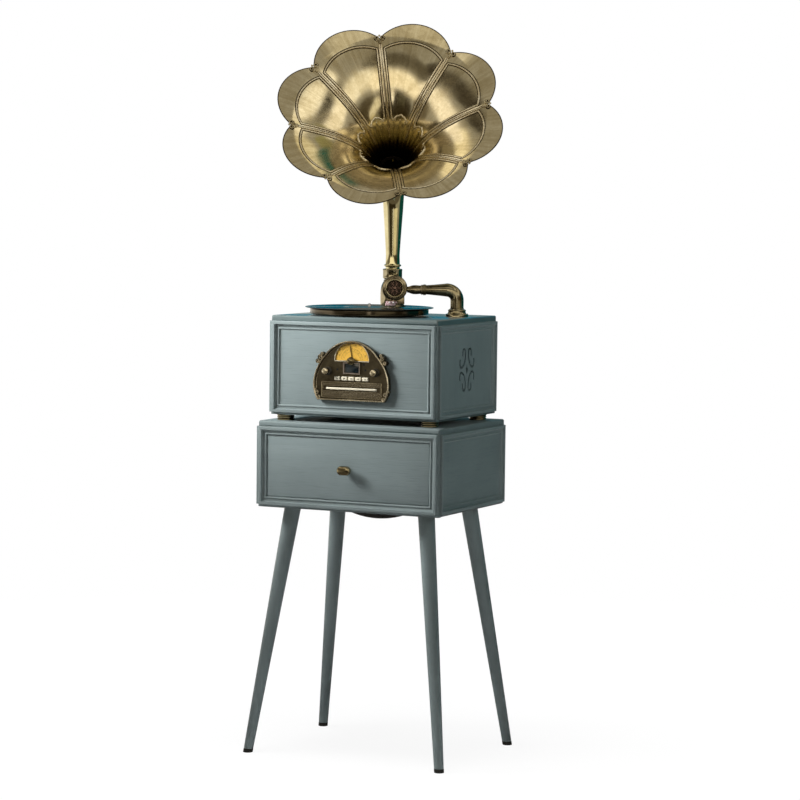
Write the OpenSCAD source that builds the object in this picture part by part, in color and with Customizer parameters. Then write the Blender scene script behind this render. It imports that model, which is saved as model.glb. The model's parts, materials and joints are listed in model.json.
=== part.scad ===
// Floor-standing horn gramophone: a record deck with a radio and disc panel,
// on a drawer stand with four splayed legs. Millimetres, +Z up, front faces -Y,
// origin on the floor midway between the four feet.

/* [Legs] */
// Height of the legs, from the floor to the underside of the stand
leg_h = 577; // [520:1:620]
// Leg diameter at the stand
leg_top_d = 39; // [36:1:42]
// Leg diameter at the floor
leg_foot_d = 22; // [20:1:26]
// Half the distance between left and right legs at the stand
leg_top_x = 172; // [165:1:178]
// Half the distance between front and rear legs at the stand
leg_top_y = 116; // [112:1:122]
// Half the distance between left and right feet on the floor
leg_foot_x = 247; // [230:1:255]
// Half the distance between front and rear feet on the floor
leg_foot_y = 190; // [175:1:195]
// Height of the rubber tip on each leg
tip_h = 9; // [7:1:12]

/* [Stand] */
// Width of the drawer stand without its mouldings
stand_w = 464; // [462:1:470]
// Depth of the drawer stand without its mouldings
stand_d = 356; // [354:1:362]
// Height of the drawer stand
stand_h = 200; // [198:1:206]
// Diameter of the low-note loudspeaker's opening in the stand's floor
bass_hole_d = 184; // [180:1:186]
// How far the loudspeaker grille hangs below the stand
grille_sag = 30; // [24:1:34]
// How far the drawer opens
drawer_travel = 240; // [200:5:250]

/* [Cabinet] */
// Width of the upper cabinet without its mouldings
cab_w = 426; // [424:1:430]
// Depth of the upper cabinet without its mouldings
cab_d = 320; // [318:1:324]
// Height of the upper cabinet
cab_h = 230; // [228:1:234]
// How far the upper cabinet stands back from the stand's middle
cab_back = 6; // [0:1:8]
// Height of the round metal feet between the stand and the cabinet
spacer_h = 14; // [12:1:16]
// Thickness of the boards
board_t = 12; // [11:0.5:13]
// Width of the picture-frame mouldings
mould_w = 19.5; // [19:0.5:20]
// How far the mouldings stand proud of the boards
mould_t = 7; // [6:0.5:8]

/* [Front panel] */
// Half the width of the metal front panel at its widest
panel_half_w = 97; // [95:1:98]
// Height of the metal front panel
panel_h = 138; // [136:1:140]
// Radius of the half-round tuning dial
dial_r = 44; // [42:1:45]
// Travel of the push-buttons
button_travel = 1.5; // [1:0.25:2]
// How far the disc tray opens
tray_travel = 125; // [100:5:130]

/* [Turntable] */
// Record diameter
record_d = 300; // [250:1:302]
// Platter diameter
platter_d = 277; // [240:1:280]
// Left-right place of the spindle
spindle_x = -32.8; // [-34:0.2:-32]
// Front-rear place of the spindle
spindle_y = -8; // [-10:0.5:-7]
// Spindle diameter
spindle_d = 7.2; // [7.1:0.05:7.25]

/* [Tonearm] */
// Left-right place of the tonearm's pivot
arm_x = 159; // [157:0.5:161]
// Front-rear place of the tonearm's pivot
arm_y = 64; // [62:0.5:66]
// Height of the arm's centre line above the cabinet
arm_rise = 61; // [60:0.5:63]
// Length from the pivot to the middle of the sound head
arm_l = 145.3; // [143:0.1:147]
// Sound head diameter
head_d = 59; // [56:1:60]

/* [Horn] */
// Left-right place of the horn's upright tube
horn_x = -62; // [-64:0.5:-60]
// Front-rear place of the horn's upright tube
horn_y = 172; // [171:0.5:174]
// Height above the cabinet at which the horn's tube starts to bend
bend_rise = 243; // [235:1:250]
// Radius of the bend below the bell
bend_r = 127; // [120:1:134]
// Angle by which the horn leans from straight up
horn_tilt = 53.6; // [48:0.2:58]
// Length of the bell from its throat to its mouth
bell_l = 203; // [190:1:215]
// Radius of the mouth at the notches between the petals
notch_r = 227.4; // [215:0.2:235]
// Radius of the mouth at the petals' tips
tip_r = 266.3; // [255:0.2:272]

/* [Hidden] */
$fn = 48;

// Clearances: bodies that move past each other, and a shaft in its bore
gap = 0.4;
run_fit = 0.05;

// Levels and faces
stand_z1 = leg_h + stand_h;
cab_z0 = stand_z1 + spacer_h;
cab_z1 = cab_z0 + cab_h;
stand_front_y = -stand_d / 2;
stand_rear_y = stand_d / 2;
cab_front_y = cab_back - cab_d / 2;
cab_rear_y = cab_back + cab_d / 2;
back_t = 6;
socket_strip_z1 = cab_z0 + board_t + 62;

// Legs
leg_run_x = leg_foot_x - leg_top_x;
leg_run_y = leg_foot_y - leg_top_y;
leg_tilt = atan(sqrt(leg_run_x * leg_run_x + leg_run_y * leg_run_y) / leg_h);
leg_len = leg_h / cos(leg_tilt);
leg_over = 20;
plate_t = 3;
plate_d = 58;
stud_r = 4;
stud_len = 30;

// Mouldings, measured from the edges of the boards that carry them
mould_side_in = 4;
mould_low_in = 5.2;
mould_top_in = 13.2;
mitre_gap = 0.1;
joint_line = 0.1;
socket_pitch = 18;

// Drawer
drawer_gap = 1;
drawer_open_w = stand_w - 2 * (mould_side_in + mould_w);
drawer_open_z0 = leg_h + mould_low_in + mould_w;
drawer_open_z1 = stand_z1 - mould_top_in - mould_w;
drawer_front_t = 16;
drawer_box_w = 400;
drawer_box_z0 = leg_h + 85;
drawer_box_h = 76;
drawer_wall = 10;
drawer_floor = 6;
drawer_box_d = drawer_travel + 70;
knob_r = 11;
knob_half_l = 6;
knob_proud = 17;

// Bass loudspeaker
bass_rim_r = bass_hole_d / 2 + 12;
bass_magnet_r = 46;
bass_top = 50;
dome_r = 100;
dome_wall = 1.6;
grille_rim_r = 112;

// Front panel, with its own origin at the middle of its bottom edge
panel_z = cab_z0 + 39.5;
panel_plate_t = 6;
panel_rim_t = 11;
rim_w = 4;
shoulder_x = panel_half_w - 29.5;
shoulder_z = panel_h - 34.5;
panel_base_half = panel_half_w - 17;
dial_z = 92;
knob_z = 67;
side_knob_x = 61.5;
knob_shaft_r = 3;
hub_r = 6;
display_w = 38;
display_h = 21;
display_z = 75;
button_w = 14.5;
button_h = 8.6;
button_pitch = 18;
button_z = 51;
button_proud = button_travel + 2;
slot_w = 128;
slot_h = 4.8;
slot_z = 27.5;
tray_gap = 0.5;
tray_proud = 2.5;
tray_depth = tray_travel + 13;
disc_seat_r = 60.5;

// Deck
deck_gap = 3;
record_t = 2;
platter_h = 12.6;
mat_h = 1.7;
record_z = cab_z1 + deck_gap + platter_h + mat_h;
belt_ring_r = 80;
belt_t = 0.8;
belt_h = 3;
belt_z = cab_z1 + deck_gap + 3;
pulley_r = 4;
motor_shaft_r = 1;
motor_off = 74;
motor_x = spindle_x + motor_off;
motor_y = spindle_y + motor_off;
motor_reach = norm([motor_off, motor_off]);

// Tonearm, in a frame whose X runs from the pivot to the sound head
arm_angle = 206;
arm_z = cab_z1 + arm_rise;
arm_tube_r = 15.5;
arm_end_r = 10.4;
arm_bend_r = 24;
arm_joint_x = 76;
head_z = arm_z + 3;
head_t = 16;
stylus_gap = 0.4;

// Horn
horn_azimuth = -66.6;
horn_roll = 8.3;
petals = 8;
throat_r = 30.5;
tube_foot_r = 16.5;
tube_top_r = 23.5;
tube_wall = 1.5;
pedestal_z = cab_z1 + 6;
spigot_r = 14;
collar_z0 = cab_z1 + 79.3;
collar_z1 = cab_z1 + 104;
bend_z = cab_z1 + bend_rise;
sheet_t = 1.2;
petal_cup = 2.5;

// Points along an arc
function arc(cx, cy, r, a0, a1, n) =
    [for (i = [0:n]) let (a = a0 + (a1 - a0) * i / n) [cx + r * cos(a), cy + r * sin(a)]];

// Outline of a line of even width drawn along a path, with blunt ends
function side_of(path, i) =
    let (a = path[max(i - 1, 0)], b = path[min(i + 1, len(path) - 1)], d = b - a)
    [-d[1], d[0]] / norm(d);
function ribbon(path, w) = concat(
    [for (i = [0:len(path) - 1]) path[i] + side_of(path, i) * w / 2],
    [for (i = [len(path) - 1:-1:0]) path[i] - side_of(path, i) * w / 2]);

// Closed solid through a list of rings with the same number of points
module skin(rings) {
    n = len(rings[0]);
    m = len(rings);
    points = [for (ring = rings) each ring];
    walls = [for (j = [0:m - 2]) for (i = [0:n - 1]) let (k = (i + 1) % n)
        each [[j * n + i, j * n + k, (j + 1) * n + k], [j * n + i, (j + 1) * n + k, (j + 1) * n + i]]];
    ends = [[for (i = [n - 1:-1:0]) i], [for (i = [0:n - 1]) (m - 1) * n + i]];
    polyhedron(points, concat(walls, ends));
}

// One mitred bar of picture-frame moulding, lying along X, its inner edge towards +Y
module mitred_bar(bar_l) {
    crown = mould_t;
    profile = concat(
        [[0, 0], [0, crown - 1.8]], arc(1.8, crown - 1.8, 1.8, 180, 90, 3),
        arc(mould_w - 6.5, crown, 6, 180, 270, 5),
        arc(mould_w - 3.1, 1.1, 1.9, 180, 0, 6), [[mould_w, 0]]);
    intersection() {
        rotate([90, 0, 90]) linear_extrude(bar_l) polygon(profile);
        linear_extrude(crown + 1) polygon([
            [mitre_gap, 0], [bar_l - mitre_gap, 0],
            [bar_l - mould_w - mitre_gap, mould_w], [mould_w + mitre_gap, mould_w]]);
    }
}

// A frame of four mitred bars, standing on its lower left corner in the XY plane
module mitred_frame(w, h) {
    mitred_bar(w);
    translate([w, 0, 0]) rotate(90) mitred_bar(h);
    translate([w, h, 0]) rotate(180) mitred_bar(w);
    translate([0, h, 0]) rotate(270) mitred_bar(h);
}

module front_moulding(w, h, y, z) {
    translate([mould_side_in - w / 2, y, z + mould_low_in]) rotate([90, 0, 0])
        mitred_frame(w - 2 * mould_side_in, h - mould_low_in - mould_top_in);
}

module side_mouldings(w, d, h, y, z) {
    for (side = [0, 1]) mirror([side, 0, 0])
        translate([w / 2, y + mould_side_in, z + mould_low_in]) rotate([90, 0, 90])
            mitred_frame(d - 2 * mould_side_in, h - mould_low_in - mould_top_in);
}

// Stands its children on each foot, leaning in with the legs
module on_each_leg() {
    for (sx = [-1, 1]) for (sy = [-1, 1])
        translate([sx * leg_foot_x, sy * leg_foot_y, 0])
            rotate([0, -leg_tilt, atan2(sy * leg_run_y, sx * leg_run_x)]) children();
}

module leg_cone(extra) {
    slope = (leg_top_d - leg_foot_d) / 2 / leg_len;
    translate([0, 0, -leg_over])
        cylinder(h = leg_len + 2 * leg_over, r1 = leg_foot_d / 2 + extra - slope * leg_over,
            r2 = leg_top_d / 2 + extra + slope * leg_over);
}

module floor_slab(z0, z1) {
    translate([-350, -300, z0]) cube([700, 600, z1 - z0]);
}

module legs() {
    color("#66706e") difference() {
        intersection() {
            on_each_leg() leg_cone(0);
            floor_slab(tip_h, leg_h - plate_t);
        }
        on_each_leg() translate([0, 0, leg_len - stud_len - 1])
            cylinder(h = stud_len + 12, r = stud_r + run_fit);
    }
}

module leg_plates() {
    color("#8d8f90") intersection() {
        union() {
            for (sx = [-1, 1]) for (sy = [-1, 1])
                translate([sx * leg_top_x, sy * leg_top_y, leg_h - plate_t])
                    cylinder(h = plate_t, d = plate_d);
            on_each_leg() translate([0, 0, leg_len - stud_len]) cylinder(h = stud_len, r = stud_r);
        }
        floor_slab(0, leg_h);
    }
}

module leg_tips() {
    color("#1d1e1e") intersection() {
        on_each_leg() leg_cone(0.4);
        floor_slab(0, tip_h);
    }
}

module stand_bottom() {
    color("#6f7b7b") difference() {
        translate([-stand_w / 2, stand_front_y + board_t, leg_h]) cube([stand_w, stand_d - board_t, board_t]);
        translate([0, 0, leg_h - 1]) cylinder(h = board_t + 2, d = bass_hole_d);
    }
}

module stand_top() {
    color("#788585") translate([-stand_w / 2, stand_front_y, stand_z1 - board_t])
        cube([stand_w, stand_d, board_t]);
}

module stand_sides() {
    color("#717e7e") for (side = [0, 1]) mirror([side, 0, 0])
        translate([stand_w / 2 - board_t, stand_front_y + board_t, leg_h + board_t])
            cube([board_t, stand_d - board_t, stand_h - 2 * board_t]);
}

module stand_back() {
    inner_w = stand_w - 2 * board_t;
    color("#5a6464") translate([-inner_w / 2, stand_rear_y - back_t, leg_h + board_t])
        cube([inner_w, back_t, stand_h - 2 * board_t]);
}

// Two stiles and two rails round the drawer
module stand_face_rails() {
    stile_w = mould_side_in + mould_w;
    color("#7c8989") {
        for (side = [0, 1]) mirror([side, 0, 0])
            translate([stand_w / 2 - stile_w + mitre_gap / 2, stand_front_y, leg_h])
                cube([stile_w - mitre_gap / 2, board_t, stand_h - board_t]);
        translate([mitre_gap / 2 - drawer_open_w / 2, stand_front_y, leg_h])
            cube([drawer_open_w - mitre_gap, board_t, drawer_open_z0 - leg_h]);
        translate([mitre_gap / 2 - drawer_open_w / 2, stand_front_y, drawer_open_z1])
            cube([drawer_open_w - mitre_gap, board_t, stand_z1 - board_t - drawer_open_z1]);
    }
}

module stand_mouldings() {
    color("#8b9899") {
        front_moulding(stand_w, stand_h, stand_front_y, leg_h);
        side_mouldings(stand_w, stand_d, stand_h, stand_front_y, leg_h);
    }
}

// Wooden runners: the drawer slides on the ledge and is kept straight by the wall
module drawer_runners() {
    ledge_in = drawer_box_w / 2 - 12;
    wall_in = drawer_box_w / 2 + drawer_gap;
    outer = stand_w / 2 - board_t;
    z = drawer_box_z0 - gap;
    color("#b59a6c") for (side = [0, 1]) mirror([side, 0, 0])
        translate([0, stand_rear_y - back_t - 1, 0]) rotate([90, 0, 0])
            linear_extrude(stand_d - drawer_front_t - back_t - 2) polygon([
                [ledge_in, z - 12], [outer, z - 12], [outer, z + 40],
                [wall_in, z + 40], [wall_in, z], [ledge_in, z]]);
}

module bass_driver() {
    z = leg_h + board_t;
    color("#3a3b3d") translate([0, 0, z]) rotate_extrude($fn = 72) polygon([
        [0, 10], [14, 13], [20, 18], [bass_hole_d / 2 - 6, 0], [bass_rim_r, 0], [bass_rim_r, 3],
        [bass_hole_d / 2 - 2, 3.5], [bass_magnet_r + 4, 27], [bass_magnet_r, 27],
        [bass_magnet_r, bass_top], [0, bass_top]]);
}

// Domed steel grille with rings of slots
module bass_grille() {
    ball = (dome_r * dome_r + grille_sag * grille_sag) / (2 * grille_sag);
    edge = asin(dome_r / ball);
    outer = [for (i = [0:8]) let (a = edge * i / 8) [ball * sin(a), grille_sag - ball + ball * cos(a)]];
    inner = [for (p = outer) [p[0] * (1 - dome_wall / ball), p[1] - dome_wall]];
    profile = concat(outer, [[grille_rim_r, 0], [grille_rim_r, -1.4], [dome_r - 3, -1.4]],
        [for (i = [7:-1:0]) [inner[i][0], max(inner[i][1], -1.4)]]);
    slot_rings = [[34, 8], [56, 12], [78, 16]];
    color("#151617") translate([0, 0, leg_h - 1.4]) mirror([0, 0, 1]) difference() {
        rotate_extrude($fn = 72) polygon(profile);
        for (ring = slot_rings) for (i = [0:ring[1] - 1]) rotate(360 * i / ring[1])
            translate([ring[0] - 6, -2, 1]) cube([13, 4, grille_sag + 10]);
    }
}

module spacer_feet() {
    foot_x = 185.6;
    foot_y = 130.5;
    h = spacer_h;
    color("#c9a24e") for (sx = [-1, 1]) for (sy = [-1, 1])
        translate([sx * foot_x, sy * foot_y, stand_z1]) rotate_extrude() polygon(concat(
            [[0, 0], [18, 0]], arc(18, 2.2, 2.2, -90, 90, 4), [[17.5, 5]],
            arc(17.5, h / 2 + 0.4, h / 2 - 4.4, -90, 90, 4), [[17.5, h - 4]],
            arc(18.5, h - 2, 2, -90, 90, 4), [[0, h]]));
}

module drawer_box() {
    w = drawer_box_w;
    front = stand_front_y + drawer_front_t;
    depth = drawer_box_d;
    color("#b59a6c") difference() {
        translate([-w / 2, front, drawer_box_z0]) cube([w, depth, drawer_box_h]);
        translate([drawer_wall - w / 2, front + drawer_wall, drawer_box_z0 + drawer_floor])
            cube([w - 2 * drawer_wall, depth - 2 * drawer_wall, drawer_box_h]);
    }
}

module drawer_front() {
    color("#6f7c7d") translate([drawer_gap - drawer_open_w / 2, stand_front_y, drawer_open_z0 + drawer_gap])
        cube([drawer_open_w - 2 * drawer_gap, drawer_front_t,
            drawer_open_z1 - drawer_open_z0 - 2 * drawer_gap]);
}

// Oval knob: a round bar with round ends, flattened in front, on a turned stem
module drawer_knob() {
    z = (drawer_open_z0 + drawer_open_z1) / 2;
    color("#c8a875") translate([0, stand_front_y, z]) {
        rotate([90, 0, 0]) cylinder(h = 3, r = 9);
        rotate([90, 0, 0]) translate([0, 0, 3]) cylinder(h = knob_proud - 3, r1 = 7, r2 = 5.5);
        intersection() {
            translate([0, -knob_proud, 0]) union() {
                translate([-knob_half_l, 0, 0]) rotate([0, 90, 0]) cylinder(h = 2 * knob_half_l, r = knob_r);
                for (sx = [-1, 1]) translate([sx * knob_half_l, 0, 0]) sphere(knob_r);
            }
            translate([-30, -knob_proud - 9, -30]) cube([60, 17, 60]);
        }
    }
}

// Cut-out for the side loudspeakers: four mirrored scrolls round a small diamond,
// drawn in a plane with X towards the rear and Y up
scroll_path = concat(
    [[22.5, 31]], arc(15.6, 40.5, 7.4, 0, 180, 10), [[8.6, 30], [11.5, 19], [17.5, 10.5]],
    arc(29.5, 14, 8.6, 215, 360, 10), [[38.4, 19], [36.6, 25]]);
diamond = [[0, 14], [2.2, 5], [6.4, 0], [2.2, -5], [0, -14], [-2.2, -5], [-6.4, 0], [-2.2, 5]];

module scroll_cutout(h) {
    for (mx = [0, 1]) for (my = [0, 1]) mirror([mx, 0, 0]) mirror([0, my, 0])
        linear_extrude(h) polygon(ribbon(scroll_path, 5.4));
    linear_extrude(h) polygon(diamond);
}

module cabinet_sides() {
    centre_z = (cab_z0 + cab_z1 - mould_top_in + mould_low_in) / 2;
    color("#717e7e") for (side = [0, 1]) mirror([side, 0, 0]) difference() {
        translate([cab_w / 2 - board_t, cab_front_y + board_t, cab_z0 + board_t])
            cube([board_t, cab_d - board_t, cab_h - 2 * board_t]);
        translate([cab_w / 2 - board_t - 1, cab_back, centre_z]) rotate([90, 0, 90])
            scroll_cutout(board_t + 2);
    }
}

module cabinet_bottom() {
    color("#6f7b7b") translate([-cab_w / 2, cab_front_y + board_t, cab_z0])
        cube([cab_w, cab_d - board_t, board_t]);
}

module cabinet_top() {
    color("#5d7a78") difference() {
        translate([-cab_w / 2, cab_front_y, cab_z1 - board_t]) cube([cab_w, cab_d, board_t]);
        translate([spindle_x, spindle_y, cab_z1 - board_t - 1]) cylinder(h = board_t + 2, r = 12);
        translate([motor_x, motor_y, cab_z1 - board_t - 1]) cylinder(h = board_t + 2, r = 9);
        translate([arm_x, arm_y, cab_z1 - board_t - 1]) cylinder(h = board_t + 2, r = 7);
    }
}

module cabinet_front() {
    color("#7c8989") difference() {
        translate([-cab_w / 2, cab_front_y, cab_z0]) cube([cab_w, board_t, cab_h - board_t]);
        translate([-72, cab_front_y - 1, panel_z + 13]) cube([144, board_t + 2, 76]);
        translate([0, cab_front_y - 1, panel_z + dial_z]) rotate([-90, 0, 0])
            cylinder(h = board_t + 2, r = 9);
    }
}

module cabinet_back() {
    inner_w = cab_w - 2 * board_t;
    vent_x = 60;
    color("#3c4444") difference() {
        translate([-inner_w / 2, cab_rear_y - back_t, socket_strip_z1])
            cube([inner_w, back_t, cab_z1 - board_t - socket_strip_z1]);
        for (row = [0:5])
            translate([vent_x, cab_rear_y - back_t - 1, cab_z0 + 110 + row * 11]) cube([90, back_t + 2, 4]);
    }
}

module cabinet_mouldings() {
    color("#8b9899") {
        front_moulding(cab_w, cab_h, cab_front_y, cab_z0);
        side_mouldings(cab_w, cab_d, cab_h, cab_front_y, cab_z0);
    }
}

module side_drivers() {
    centre_z = (cab_z0 + cab_z1 - mould_top_in + mould_low_in) / 2;
    color("#3a3b3d") for (side = [0, 1]) mirror([side, 0, 0])
        translate([cab_w / 2 - board_t - 1, cab_back, centre_z]) rotate([0, -90, 0])
            rotate_extrude() polygon([
                [0, 6], [10, 9], [44, 0], [60, 0], [60, 3], [46, 4], [26, 24], [26, 42], [0, 42]]);
}

module grille_cloths() {
    centre_z = (cab_z0 + cab_z1 - mould_top_in + mould_low_in) / 2;
    color("#141617") for (side = [0, 1]) mirror([side, 0, 0])
        translate([cab_w / 2 - board_t - 1, cab_back - 62, centre_z - 62]) cube([1, 124, 124]);
}

// Outline of the metal front panel, from the bottom corner up the right side and over the arch
function panel_side_x(z) = z > 37
    ? panel_half_w - (panel_half_w - shoulder_x) * pow((z - 37) / (shoulder_z - 37), 2)
    : panel_half_w - 11 * pow((37 - z) / 37, 2);
function panel_outline(inset) =
    let (rise = panel_h - shoulder_z, arch_r = (shoulder_x * shoulder_x + rise * rise) / (2 * rise),
        half = asin(shoulder_x / arch_r),
        side = [for (i = [0:16]) let (z = inset + (shoulder_z - 4 - inset) * i / 16)
            [panel_side_x(z) - inset, z]],
        arch = arc(0, panel_h - arch_r, arch_r - inset, 90 - half, 90 + half, 24),
        low = [panel_base_half - inset, inset])
    concat([low], side, arch, [for (i = [16:-1:0]) [-side[i][0], side[i][1]]], [[-low[0], low[1]]]);

// The scrolls at the panel's shoulders and bottom corners: place and turn of each on the
// right, and the three curls of a scroll as centre, radius and step below the rim
scroll_spots = [[79, 98.5, 0], [88, 17, -62]];
scroll_curls = [[0, 0, 6.5, 0.6], [6.8, -9.2, 5.4, 1.2], [-3.8, 7.7, 4.4, 1.8]];
curl_wall = 2.2;

// Every curl as a disc between two heights, smaller by the inset
module panel_curls(inset, z0, z1) {
    for (side = [0, 1]) mirror([side, 0, 0]) for (spot = scroll_spots)
        translate([spot[0], spot[1], z0]) rotate(spot[2]) for (c = scroll_curls)
            translate([c[0], c[1], 0]) cylinder(h = z1 - z0 - c[3], r = c[2] - inset);
}

// Puts the panel's own plane (X right, Y up, Z outwards) on the cabinet's front
module on_panel() {
    translate([0, cab_front_y, panel_z]) rotate([90, 0, 0]) children();
}

module fascia() {
    color("#5b5240") on_panel() difference() {
        union() {
            linear_extrude(panel_plate_t) polygon(panel_outline(0));
            difference() {
                linear_extrude(panel_rim_t) polygon(panel_outline(0));
                translate([0, 0, -1]) linear_extrude(panel_rim_t + 2) polygon(panel_outline(rim_w));
            }
            panel_curls(0, 0, panel_rim_t);
            translate([-77, 6, 0]) cube([154, 37, panel_plate_t + 1.5]);
            translate([-display_w / 2 - 4, display_z - display_h / 2 - 3.5, 0])
                cube([display_w + 8, display_h + 7, panel_plate_t + 2]);
        }
        panel_curls(curl_wall, panel_plate_t + 1.5, panel_rim_t + 3);
        translate([-74, 9, panel_plate_t + 0.5]) cube([148, 31, 4]);
        translate([0, dial_z, panel_plate_t - 2.5]) intersection() {
            cylinder(h = 9, r = dial_r);
            translate([-50, 0, 0]) cube([100, 50, 9]);
        }
        translate([0, dial_z, -1]) cylinder(h = 12, r = knob_shaft_r + 0.5);
        translate([0, dial_z, panel_plate_t - 1]) cylinder(h = 9, r = hub_r + 0.6);
        translate([-display_w / 2, display_z - display_h / 2, panel_plate_t - 2])
            cube([display_w, display_h, 9]);
        for (sx = [-1, 1]) translate([sx * side_knob_x, knob_z, -1])
            cylinder(h = 12, r = knob_shaft_r + 0.5);
        for (i = [-2:2]) translate([i * button_pitch - button_w / 2 - gap, button_z - button_h / 2 - gap, -1])
            cube([button_w + 2 * gap, button_h + 2 * gap, 12]);
        translate([-slot_w / 2 - gap, slot_z - slot_h / 2 - gap, -1])
            cube([slot_w + 2 * gap, slot_h + 2 * gap, 12]);
        for (p = [[-36.8, 71.5], [30.6, 84], [34.8, 71.7]])
            translate([p[0], p[1], -1]) cylinder(h = 12, r = 1.7);
    }
}

module dial_face() {
    color("#d9a63a") on_panel() translate([0, dial_z + 0.5, panel_plate_t - 2.5]) difference() {
        intersection() {
            cylinder(h = 1, r = dial_r - 1);
            translate([-50, 0, 0]) cube([100, 50, 9]);
        }
        translate([0, -0.5, -1]) cylinder(h = 4, r = 4);
    }
}

// The pointer turns with the tuning knob and sweeps just above the dial
module dial_pointer() {
    color("#17140f") on_panel() translate([0, dial_z, panel_plate_t - 0.8]) rotate(8) difference() {
        union() {
            cylinder(h = 1, r = hub_r);
            linear_extrude(1) polygon([[-1.2, 4], [1.2, 4], [0.5, dial_r - 8], [-0.5, dial_r - 8]]);
        }
        translate([0, 0, -1]) cylinder(h = 4, r = knob_shaft_r);
    }
}

// A turned knob on its shaft: skirt, waist, grip and a domed cap
module turned_knob(r, length, z) {
    translate([0, 0, -8]) cylinder(h = 8 + z, r = knob_shaft_r);
    translate([0, 0, z]) rotate_extrude() polygon(concat(
        [[0, 0], [r, 0], [r, 2], [r - 2, 3.4], [r - 1.2, 5], [r - 1.2, length - 3]],
        arc(0, length - 3, r - 1.2, 0, 90, 5) * [[1, 0], [0, 3 / (r - 1.2)]]
            + [for (i = [0:5]) [0, (length - 3) * (1 - 3 / (r - 1.2))]]));
}

module tuning_knob() {
    color("#8a7345") on_panel() translate([0, dial_z, 0]) turned_knob(9, 11.1, panel_plate_t + 2.4);
}

module display_window() {
    color("#10171c") on_panel()
        translate([gap / 2 - display_w / 2, display_z - display_h / 2 + gap / 2, panel_plate_t - 2])
            cube([display_w - gap, display_h - gap, 2.5]);
}

module volume_knob() {
    color("#c9bfa2") on_panel() translate([-side_knob_x, knob_z, 0]) turned_knob(10, 17, panel_plate_t + 0.5);
}

module mode_knob() {
    color("#c9bfa2") on_panel() translate([side_knob_x, knob_z, 0]) turned_knob(10, 17, panel_plate_t + 0.5);
}

// Push-button: a cap in its hole, with a flange behind the panel
module push_button(i) {
    color("#e6dcc0") on_panel() translate([(i - 3) * button_pitch, button_z, 0]) {
        translate([-button_w / 2, -button_h / 2, -3])
            cube([button_w, button_h, panel_plate_t + button_proud + 3]);
        translate([-button_w / 2 - 1, -button_h / 2 - 1, -3.5]) cube([button_w + 2, button_h + 2, 3]);
    }
}

module button_1() { push_button(1); }
module button_2() { push_button(2); }
module button_3() { push_button(3); }
module button_4() { push_button(4); }
module button_5() { push_button(5); }

// Disc tray: a thin tray with a shallow round seat, its front edge showing as the bright bar
module cd_tray() {
    color("#ddd3b4") on_panel() difference() {
        translate([-slot_w / 2, slot_z - slot_h / 2, panel_plate_t + tray_proud - tray_depth])
            cube([slot_w, slot_h, tray_depth]);
        translate([0, slot_z + slot_h / 2 - 2, -disc_seat_r - 1]) rotate([-90, 0, 0])
            cylinder(h = 5, r = disc_seat_r);
        translate([0, slot_z - 5, -disc_seat_r - 1]) rotate([-90, 0, 0]) cylinder(h = 12, r = 9);
    }
}

// Metal frame of the disc player: two rails beside the tray and a floor with the spindle motor
module cd_mechanism() {
    w = slot_w + 2 * tray_gap;
    z = panel_z + slot_z - slot_h / 2;
    y = cab_front_y + board_t + 3;
    color("#85888a") {
        for (side = [0, 1]) mirror([side, 0, 0]) translate([w / 2, y, z - 12]) cube([5, 118, 24]);
        translate([-w / 2, y, z - 12]) cube([w, 118, 4]);
        translate([0, y + 52, z - 8.5]) cylinder(h = 5, r = 12);
    }
}

module circuit_board() {
    z = panel_z + slot_z + 26;
    color("#2f6b3f") translate([-62, cab_front_y + board_t + 40, z]) {
        cube([124, 90, 1.6]);
        translate([10, 20, 1]) cube([18, 18, 3]);
        translate([48, 30, 1]) cube([14, 14, 3]);
        for (i = [0:4]) translate([20 + i * 16, 72, 1]) cylinder(h = 13, r = 5);
        translate([92, 12, 1]) cube([22, 40, 16]);
    }
}

module power_supply() {
    z = cab_z0 + board_t;
    color("#5c5247") translate([-170, 40, z]) {
        cube([70, 58, 4]);
        translate([8, 6, 3]) cube([54, 46, 42]);
        translate([16, -2, 8]) cube([38, 62, 32]);
    }
}

// Strip of plastic below the back board: mains inlet, three line sockets and blank ends,
// each its own moulding with a hairline joint to the next
module strip_block(x0, x1) {
    z0 = cab_z0 + board_t + joint_line;
    translate([x0 + joint_line, cab_rear_y - back_t, z0])
        cube([x1 - x0 - 2 * joint_line, back_t, socket_strip_z1 - joint_line - z0]);
}

module rear_sockets() {
    half_w = cab_w / 2 - board_t;
    inlet_x = -64;
    socket_z = cab_z0 + 50;
    ends = [for (i = [0:3]) inlet_x - 22 - i * socket_pitch];
    color("#1a1b1c") {
        strip_block(-half_w, ends[3]);
        strip_block(inlet_x + 22, half_w);
        difference() {
            union() {
                strip_block(ends[0], inlet_x + 22);
                translate([inlet_x - 15, cab_rear_y - 26, socket_z - 14]) cube([30, 21, 28]);
            }
            translate([inlet_x - 11, cab_rear_y - 16, socket_z - 9]) cube([22, 30, 18]);
        }
        for (i = [0:2]) difference() {
            union() {
                strip_block(ends[i + 1], ends[i]);
                translate([ends[i] - socket_pitch / 2, cab_rear_y + 5, socket_z]) rotate([90, 0, 0])
                    cylinder(h = 6, r = 4.2);
            }
            translate([ends[i] - socket_pitch / 2, cab_rear_y + 6, socket_z]) rotate([90, 0, 0])
                cylinder(h = 10, r = 1.8);
        }
    }
}

module platter_bearing() {
    color("#b9a36a") translate([spindle_x, spindle_y, 0]) difference() {
        union() {
            translate([0, 0, cab_z1]) cylinder(h = 2.4, r = 18);
            translate([0, 0, cab_z1 - 40]) cylinder(h = 41, r = 11.9);
        }
        translate([0, 0, cab_z1 - 36]) cylinder(h = 40, r = spindle_d / 2 + run_fit);
    }
}

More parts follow.
